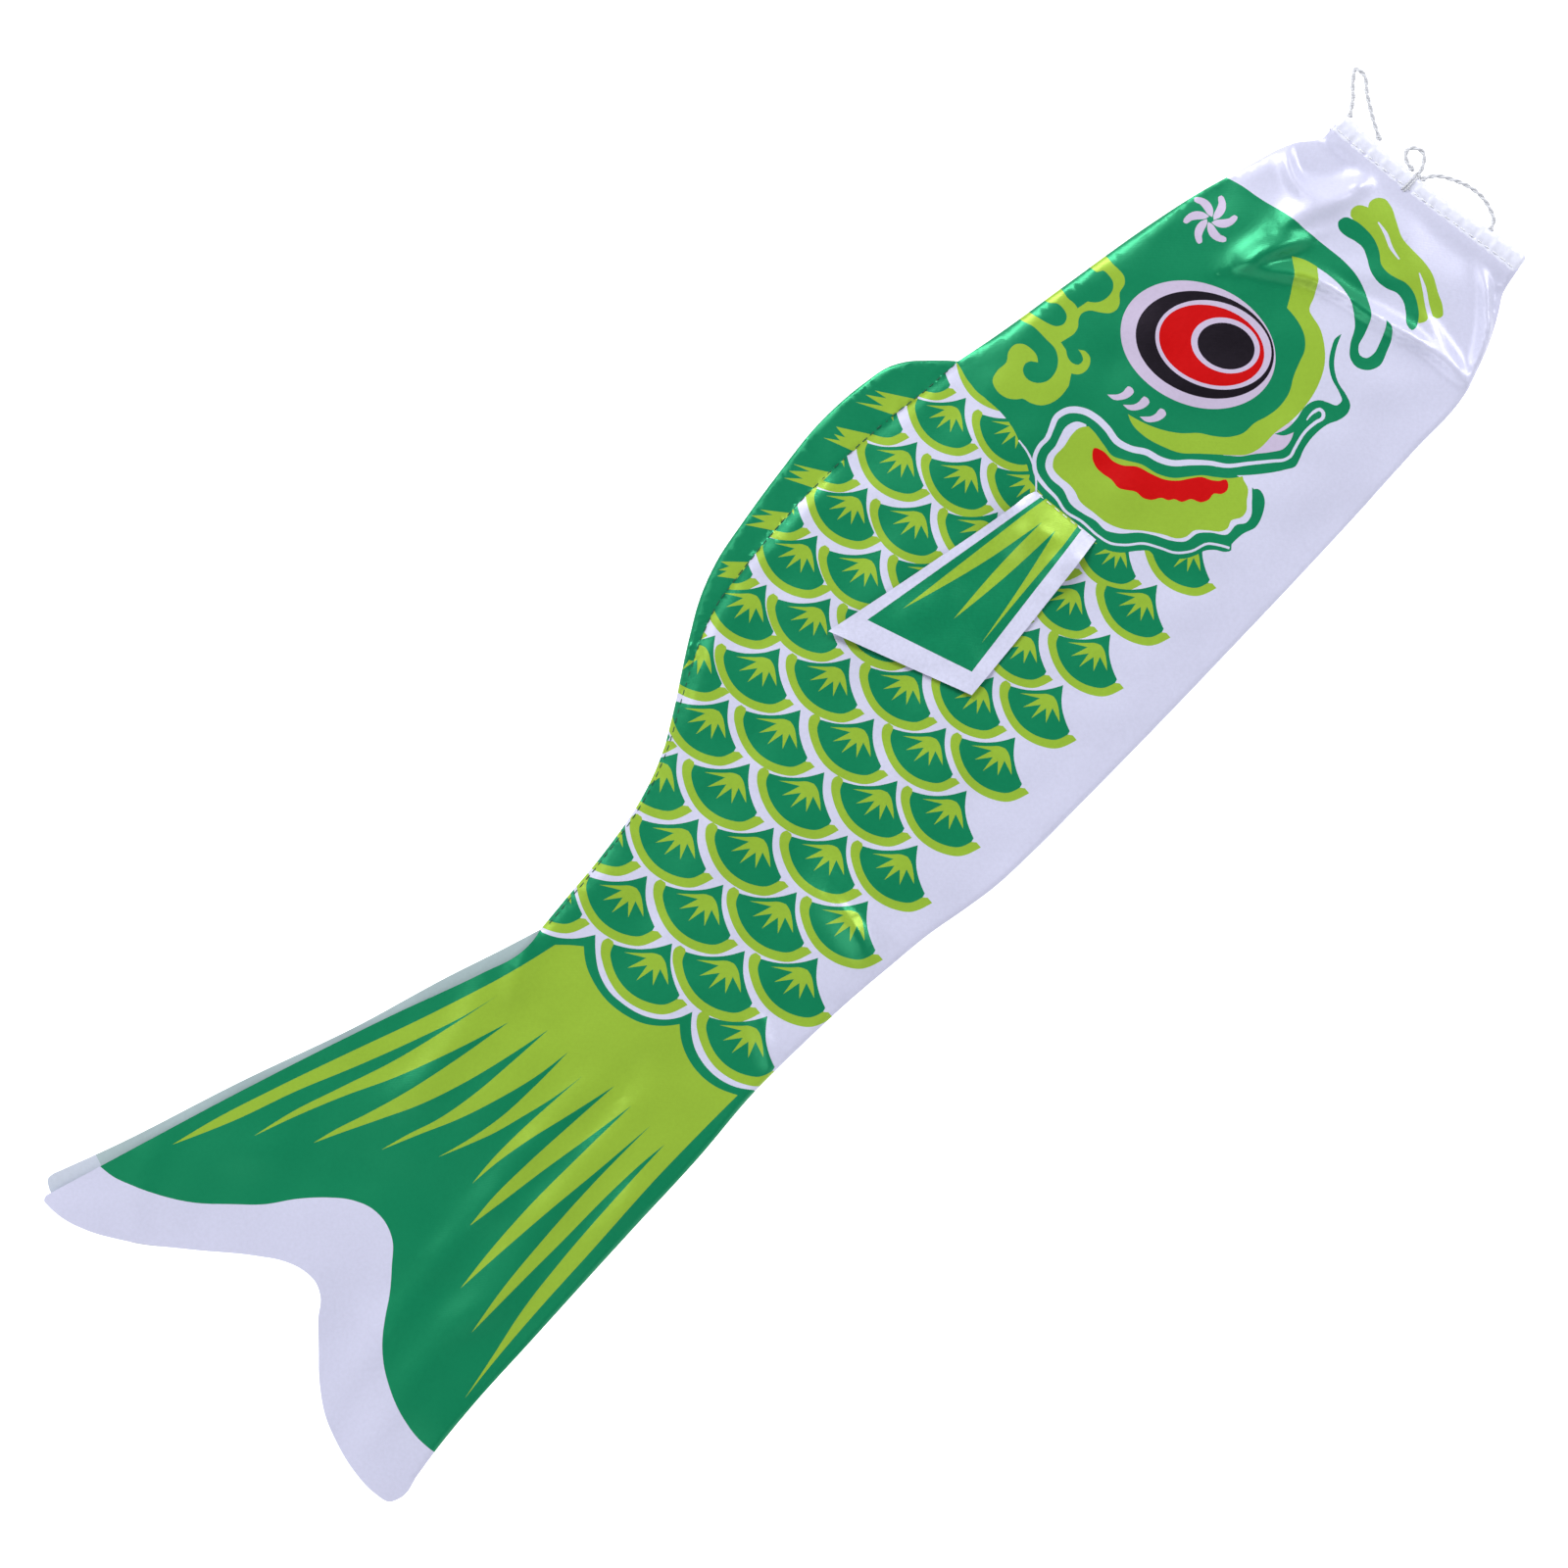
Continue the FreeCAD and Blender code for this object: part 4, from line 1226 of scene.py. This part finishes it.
def joined(name, parts, material, slot_name):
    """One object from many (vertices, faces) parts in millimetres."""
    verts, faces = [], []
    start = 0
    for v, f in parts:
        verts.append(v)
        faces += [tuple(i + start for i in face) for face in f]
        start += len(v)
    obj = mesh_object(name, np.vstack(verts), faces, [0] * len(faces), [material])
    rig.slot(obj, slot_name)
    return obj


def mirrored(parts):
    """The same parts below the middle plane."""
    return [(v * (1, 1, -1), inside_out(f)) for v, f in parts]


STITCH_PITCH, STITCH_LENGTH, THREAD_R = 3.1, 2.3, 0.17


def stitch_row(line, height, radius=THREAD_R, seed=3):
    """Lock stitches along a plan line on a surface: each dips into the cloth at both ends."""
    draw = np.random.default_rng(seed)
    line = smooth(line, step=0.5)
    travelled = along(line)
    count = int(travelled[-1] // STITCH_PITCH)
    made = []
    for i in range(count):
        middle = (i + 0.5) * travelled[-1] / count
        s = middle + STITCH_LENGTH / 2 * np.linspace(-1, 1, 6) * draw.uniform(0.92, 1.05)
        x, y = np.interp(s, travelled, line[:, 0]), np.interp(s, travelled, line[:, 1])
        points = np.column_stack([x, y + draw.uniform(-0.08, 0.08)])
        rise = radius * np.array([-0.9, 0.25, 0.6, 0.6, 0.25, -0.9])
        z = height(points) + rise
        made.append(tube(np.column_stack([points, z]), radius * np.array([0.6, 1, 1, 1, 1, 0.6])))
    return made


CORD_STEP = 0.28       # length of a cord's facets


def twisted(path, radius=0.72, pitch=6.0):
    """Two strands twisted along a path."""
    path = np.array(path, float)
    travelled = along(path)
    count = int(travelled[-1] / CORD_STEP)
    s = np.linspace(0, travelled[-1], count)
    line = np.column_stack([np.interp(s, travelled, path[:, i]) for i in range(3)])
    way = np.gradient(line, axis=0)
    way /= np.linalg.norm(way, axis=1)[:, None]
    side = np.cross(way, (0.0, 0.0, 1.0))
    side /= np.maximum(np.linalg.norm(side, axis=1), 1e-6)[:, None]
    up = np.cross(side, way)
    strands = []
    for start in (0, math.pi):
        turn = (s / pitch * 2 * math.pi + start)[:, None]
        strand = line + (np.cos(turn) * side + np.sin(turn) * up) * radius * 0.5
        thick = np.full(count, radius * 0.56)
        thick[0] = thick[-1] = radius * 0.3
        strands.append(tube(strand, thick, 7))
    return strands


def knot(centre, radius=0.95):
    """A small overhand knot: a cord that winds over itself."""
    t = np.linspace(0, 2 * math.pi, 60)
    x = (np.sin(t) + 2 * np.sin(2 * t)) * radius / 3
    y = (np.cos(t) - 2 * np.cos(2 * t)) * radius / 3
    z = -np.sin(3 * t) * radius / 2.4
    return [tube(np.array(centre) + np.column_stack([x, y, z]), 0.34, 7)]


def level(points, z):
    """A smooth path through plan points at changing heights."""
    line = smooth(points, step=0.4)
    return np.column_stack([line, np.interp(np.linspace(0, 1, len(line)), np.linspace(0, 1, len(z)), z)])


# --- the mouth --------------------------------------------------------------------------------------------
HEM_FRONT = [(4.0, -37.9), (4.5, -35.5), (4.1, -32), (2.9, -24), (1.2, -16), (-0.2, -8), (-1.2, 0),
             (-2, 10), (-2.6, 18), (-3.1, 28), (-3.1, 34.5), (-3.6, 37.6)]
HEM_REAR = [(-2.4, -38.7), (-2.6, -35.5), (-3.1, -30), (-4.3, -20), (-5.5, -10), (-6.8, 0), (-8, 10),
            (-8.9, 20), (-9.7, 30), (-9.9, 34.5), (-9.7, 38)]
HEM_TOP, HEM_LOW = 2.62, 0.55
HEM_STATIONS = 150
HEM_LENGTH, END_RADIUS = 76.0, 1.8
HEM_SEAM = 0.20                    # stitch row, as a share of the hem's width from its rear edge


def even(points, count):
    """Evenly spaced stations along a smooth plan line."""
    line = smooth(points, step=0.3)
    travelled = along(line)
    s = np.linspace(0, travelled[-1], count)
    return np.column_stack([np.interp(s, travelled, line[:, 0]), np.interp(s, travelled, line[:, 1])])


hem_front = even(HEM_FRONT, HEM_STATIONS)
hem_rear = even(HEM_REAR, HEM_STATIONS)


def hem_sleeve():
    """The hem: a flattened sleeve, puckered at its stitches and creased shut at both ends."""
    around = 36
    t = np.arange(around) / around * 2 * math.pi
    across = 0.5 - 0.5 * squarer(np.cos(t), 0.75)
    rise = squarer(np.sin(t), 0.7)
    upper = np.clip(rise, 0, 1)
    rings = []
    for i in range(HEM_STATIONS):
        share = i / (HEM_STATIONS - 1)
        close = rounded(min(share, 1 - share) * HEM_LENGTH, END_RADIUS)
        top, low = 0.06 + (HEM_TOP - 0.06) * close, 0.03 + (HEM_LOW - 0.03) * close
        middle, half = (top + low) / 2, (top - low) / 2
        seam = np.exp(-(((across - HEM_SEAM) / 0.10) ** 2)) * upper
        beat = 0.5 + 0.5 * math.cos(2 * math.pi * share * HEM_LENGTH / STITCH_PITCH)
        ripple = 0.10 * math.sin(share * 97.0) + 0.07 * math.sin(share * 173.0 + 1)
        z = middle + half * rise - seam * (0.30 + 0.22 * beat) * close + ripple * upper * close
        bow = 0.12 * math.sin(share * 120.0) * (across < 0.1)
        bow = bow + 0.10 * math.sin(share * 88.0) * (across > 0.9)
        xy = hem_rear[i] + (hem_front[i] - hem_rear[i]) * (across + bow * 0.12)[:, None]
        rings.append(np.column_stack([xy, z]))
    return np.vstack(rings), inside_out(skin(HEM_STATIONS, around))


def hem_point(share_across, share_along):
    """A plan point of the hem."""
    i = share_along * (HEM_STATIONS - 1)
    rear = [np.interp(i, range(HEM_STATIONS), hem_rear[:, k]) for k in (0, 1)]
    front = [np.interp(i, range(HEM_STATIONS), hem_front[:, k]) for k in (0, 1)]
    return tuple(rear[k] + (front[k] - rear[k]) * share_across for k in (0, 1))


def hoop_strap():
    """Half of the flattened hoop inside the hem: a thin plastic band with a rounded edge."""
    stations = 60
    around = 16
    t = np.arange(around) / around * 2 * math.pi
    rings = []
    for i in range(stations):
        share = 0.012 + 0.976 * i / (stations - 1)
        xs = 0.5 + 0.34 * squarer(np.cos(t), 0.5)
        xy = np.array([hem_point(x, share) for x in xs])
        end = min(i, stations - 1 - i)
        middle = 1.6 if end > 1 else 0.7 + 0.5 * end
        rings.append(np.column_stack([xy, middle + 0.2 * squarer(np.sin(t), 0.5)]))
    return np.vstack(rings), skin(stations, around)


CORD_Z = (HEM_TOP + HEM_LOW) / 2
TIE_SHARE = 0.592                  # centre tie, as a share of the hem's length from the belly


def tie_turn(share):
    """One turn of cord round the upper hem."""
    t = np.linspace(0, 2 * math.pi, 48)
    middle = np.array(hem_point(0.5, share))
    way = np.array(hem_point(1.0, share)) - middle
    u = squarer(np.cos(t), 0.7) * (1 + 0.42 / np.linalg.norm(way))
    z = CORD_Z + 1.36 * squarer(np.sin(t), 0.7)
    drift = np.array([-way[1], way[0]]) / np.linalg.norm(way) * 0.35
    xy = middle + u[:, None] * way + (t / (2 * math.pi) - 0.5)[:, None] * drift
    return twisted(np.column_stack([xy, z]), 0.36, 2.0)


# --- placing the small pieces -----------------------------------------------------------------------------
STALK_SEAM = [(-279, 66.5), (-285, 63.6), (-295, 58.2), (-305, 52.9), (-315, 49), (-325, 46.1),
              (-345, 43.1), (-365, 41.5), (-374, 40.9)]
WHOLE_SEAM = BACK_SEAM[:-1] + STALK_SEAM
FIN_STITCHES = [(-159.9, 0.6), (-160.7, 10), (-161.9, 23.8)]
FIN_BEND = ((-0.16055, 0.0121, 0), (-0.16055 - 0.9972 * 0.006, 0.0121 - 0.0746 * 0.006, 0))
for side, folded in (("right", True), ("left", False)):
    flip = side == "left"
    fin = breast_fin(side + "_fin_cloth", folded, flip)
    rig.blend(fin, "front", side + "_fin", *FIN_BEND)
    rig.replaces(fin, side + "_breast_fin")

    row = stitch_row(FIN_STITCHES, lambda p: fin_height(p, folded) + FIN_T, 0.15)
    row = joined(side + "_fin_thread", mirrored(row) if flip else row, white_thread, "thread")
    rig.ride(row, "front")
    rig.replaces(row, side + "_fin_stitches")

    row = stitch_row(WHOLE_SEAM, lambda p: side_height(p, folded))
    row = joined(side + "_seam_thread", mirrored(row) if flip else row, green_thread, "thread")
    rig.blend(row, "front", "rear", *BODY_BEND)
    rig.replaces(row, side + "_back_seam_stitches_front", side + "_back_seam_stitches_rear")

    sleeve, strap = hem_sleeve(), hoop_strap()
    ends = [hem_point(HEM_SEAM, 0.02 + 0.96 * k / 20) for k in range(21)]
    row = stitch_row(ends, lambda p: np.full(len(p), HEM_TOP - 0.36), 0.19, 4)
    hem = joined(side + "_hem", mirrored([sleeve]) if flip else [sleeve], white_satin, "white_satin")
    strap = joined(side + "_strap", mirrored([strap]) if flip else [strap], strap_plastic, "hoop_plastic")
    row = joined(side + "_hem_thread", mirrored(row) if flip else row, white_thread, "thread")
    for piece, node in ((hem, "mouth_hem"), (strap, "mouth_hoop_strap"), (row, "mouth_hem_stitches")):
        if flip:
            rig.blend(piece, "front", "left_lip", *LIP_BEND)
            set_weights(piece, lip_share(plan_of(piece)))
        else:
            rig.ride(piece, "front")
        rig.replaces(piece, side + "_" + node)

BACK_LOOP = [(-2.2, 36.2), (2.2, 39.2), (6.6, 43.4), (9.8, 45.2), (10.4, 43.0), (6.2, 36.6),
             (2.4, 30.5), (-1.0, 24.2)]
BELLY_ARC = [(-0.6, 4.6), (2.8, 2.4), (5.6, -2), (7.8, -8), (8.4, -13), (7.4, -18), (5.4, -21.6),
             (2.9, -22.6)]
CENTRE_LOOP = [(-0.8, 9.6), (0.2, 13.2), (2.4, 14.8), (4.8, 13.2), (5.4, 10.4), (3.4, 8.2), (-0.9, 6.6)]
for name, path, z, body, node in (
    ("back_loop_cord", BACK_LOOP, (1.7, 2.0, 2.4, 2.2, 2.4, 2.0, 1.7), "back_loop", "bridle_back_loop"),
    ("belly_arc_cord", BELLY_ARC, (1.7, 2.1, 2.4, 2.0, 1.7), "belly_arc", "bridle_belly_arc"),
    ("centre_loop_cord", CENTRE_LOOP, (1.7, 2.2, 2.5, 2.0, 1.7), "centre_loop", "bridle_centre_loop"),
):
    path = level(path, z)
    knots = knot(path[0], 0.8) + knot(path[-1], 0.8)
    cord = joined(name, twisted(path) + knots, cord_white, "bridle_cord")
    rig.ride(cord, body)
    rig.replaces(cord, node)
tie_parts = tie_turn(TIE_SHARE - 0.004) + tie_turn(TIE_SHARE + 0.008)
tie_parts += knot((*hem_point(1.06, TIE_SHARE + 0.002), CORD_Z + 0.5), 1.0)
tie = joined("centre_tie_cord", tie_parts, cord_white, "bridle_cord")
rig.ride(tie, "front")
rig.replaces(tie, "bridle_centre_tie")

# --- stage, light and camera ------------------------------------------------------------------------
VIEW_CENTRE = (-0.2873, 0.0174)
VIEW_WIDTH = 0.512
LENS, SENSOR = 85.0, 36.0
RIGHT = (0.6947, -0.7193)          # the picture's right, in plan
LAMP_DISTANCE = 2.8
FLOOR_HALF, FLOOR_Z = 40, -0.3


def area_light(name, toward, size, power):
    """A soft round lamp in some direction from the middle of the fish, facing it."""
    lamp = bpy.data.lights.new(name, "AREA")
    lamp.shape = "DISK"
    lamp.size = size
    lamp.energy = power
    obj = bpy.data.objects.new(name, lamp)
    way = Vector(toward).normalized()
    obj.location = Vector((*VIEW_CENTRE, 0)) + way * LAMP_DISTANCE
    obj.rotation_euler = way.to_track_quat("Z", "Y").to_euler()
    bpy.context.scene.collection.objects.link(obj)


def image_way(right, up, rise):
    """A direction given as picture right, picture up and towards the camera."""
    return (RIGHT[0] * right - RIGHT[1] * up, RIGHT[1] * right + RIGHT[0] * up, rise)


area_light("key", image_way(-0.35, 0.85, 0.85), 1.1, 43.0)
area_light("glow", image_way(-0.42, 0.34, 1.0), 0.8, 6.5)
area_light("side", image_way(0.75, 0.5, 0.8), 0.9, 25.0)
area_light("fill", image_way(-0.6, -0.8, 1.0), 1.8, 15.5)


def studio_world():
    """Pale walls all round and a dark ceiling, so that satin lying flat doesn't mirror white."""
    world = bpy.context.scene.world or bpy.data.worlds.new("world")
    bpy.context.scene.world = world
    world.use_nodes = True
    tree = world.node_tree
    place = tree.nodes.new("ShaderNodeTexCoord")
    split = tree.nodes.new("ShaderNodeSeparateXYZ")
    ramp = tree.nodes.new("ShaderNodeValToRGB")
    ramp.color_ramp.elements[0].position = 0.55
    ramp.color_ramp.elements[0].color = (0.96, 0.97, 1.0, 1)
    ramp.color_ramp.elements[1].position = 0.80
    ramp.color_ramp.elements[1].color = (0.02, 0.02, 0.022, 1)
    tree.links.new(place.outputs["Generated"], split.inputs[0])
    tree.links.new(split.outputs["Z"], ramp.inputs["Fac"])
    tree.links.new(ramp.outputs["Color"], tree.nodes["Background"].inputs["Color"])
    tree.nodes["Background"].inputs["Strength"].default_value = 0.9


def pale_floor():
    """A wide white floor well below the fish."""
    corners = [(x * FLOOR_HALF, y * FLOOR_HALF, FLOOR_Z) for x, y in ((-1, -1), (1, -1), (1, 1), (-1, 1))]
    mesh = bpy.data.meshes.new("floor")
    mesh.from_pydata(corners, [], [(0, 1, 2, 3)])
    floor = bpy.data.objects.new("floor", mesh)
    bpy.context.scene.collection.objects.link(floor)
    n = Nodes("floor")
    n.set(Base_Color=(0.95, 0.95, 0.95, 1), Roughness=1.0, Specular_IOR_Level=0.0,
          Emission_Color=(1, 1, 1, 1), Emission_Strength=0.40)
    mesh.materials.append(n.material)
    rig.stage(floor)


def place_camera():
    """Straight down on the fish, turned so that it lies corner to corner."""
    lens = bpy.data.cameras.new("camera")
    lens.lens = LENS
    lens.sensor_width = SENSOR
    camera = bpy.data.objects.new("camera", lens)
    camera.location = (*VIEW_CENTRE, VIEW_WIDTH / SENSOR * LENS)
    camera.rotation_euler = (0, 0, math.atan2(RIGHT[1], RIGHT[0]))
    bpy.context.scene.collection.objects.link(camera)
    bpy.context.scene.camera = camera


studio_world()
pale_floor()
place_camera()
bpy.context.scene.view_settings.view_transform = "Standard"

size_low, size_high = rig.bounds()
with open("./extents.json", "w") as size_file:
    json.dump([list(cad_low), list(cad_high), list(size_low), list(size_high)], size_file)
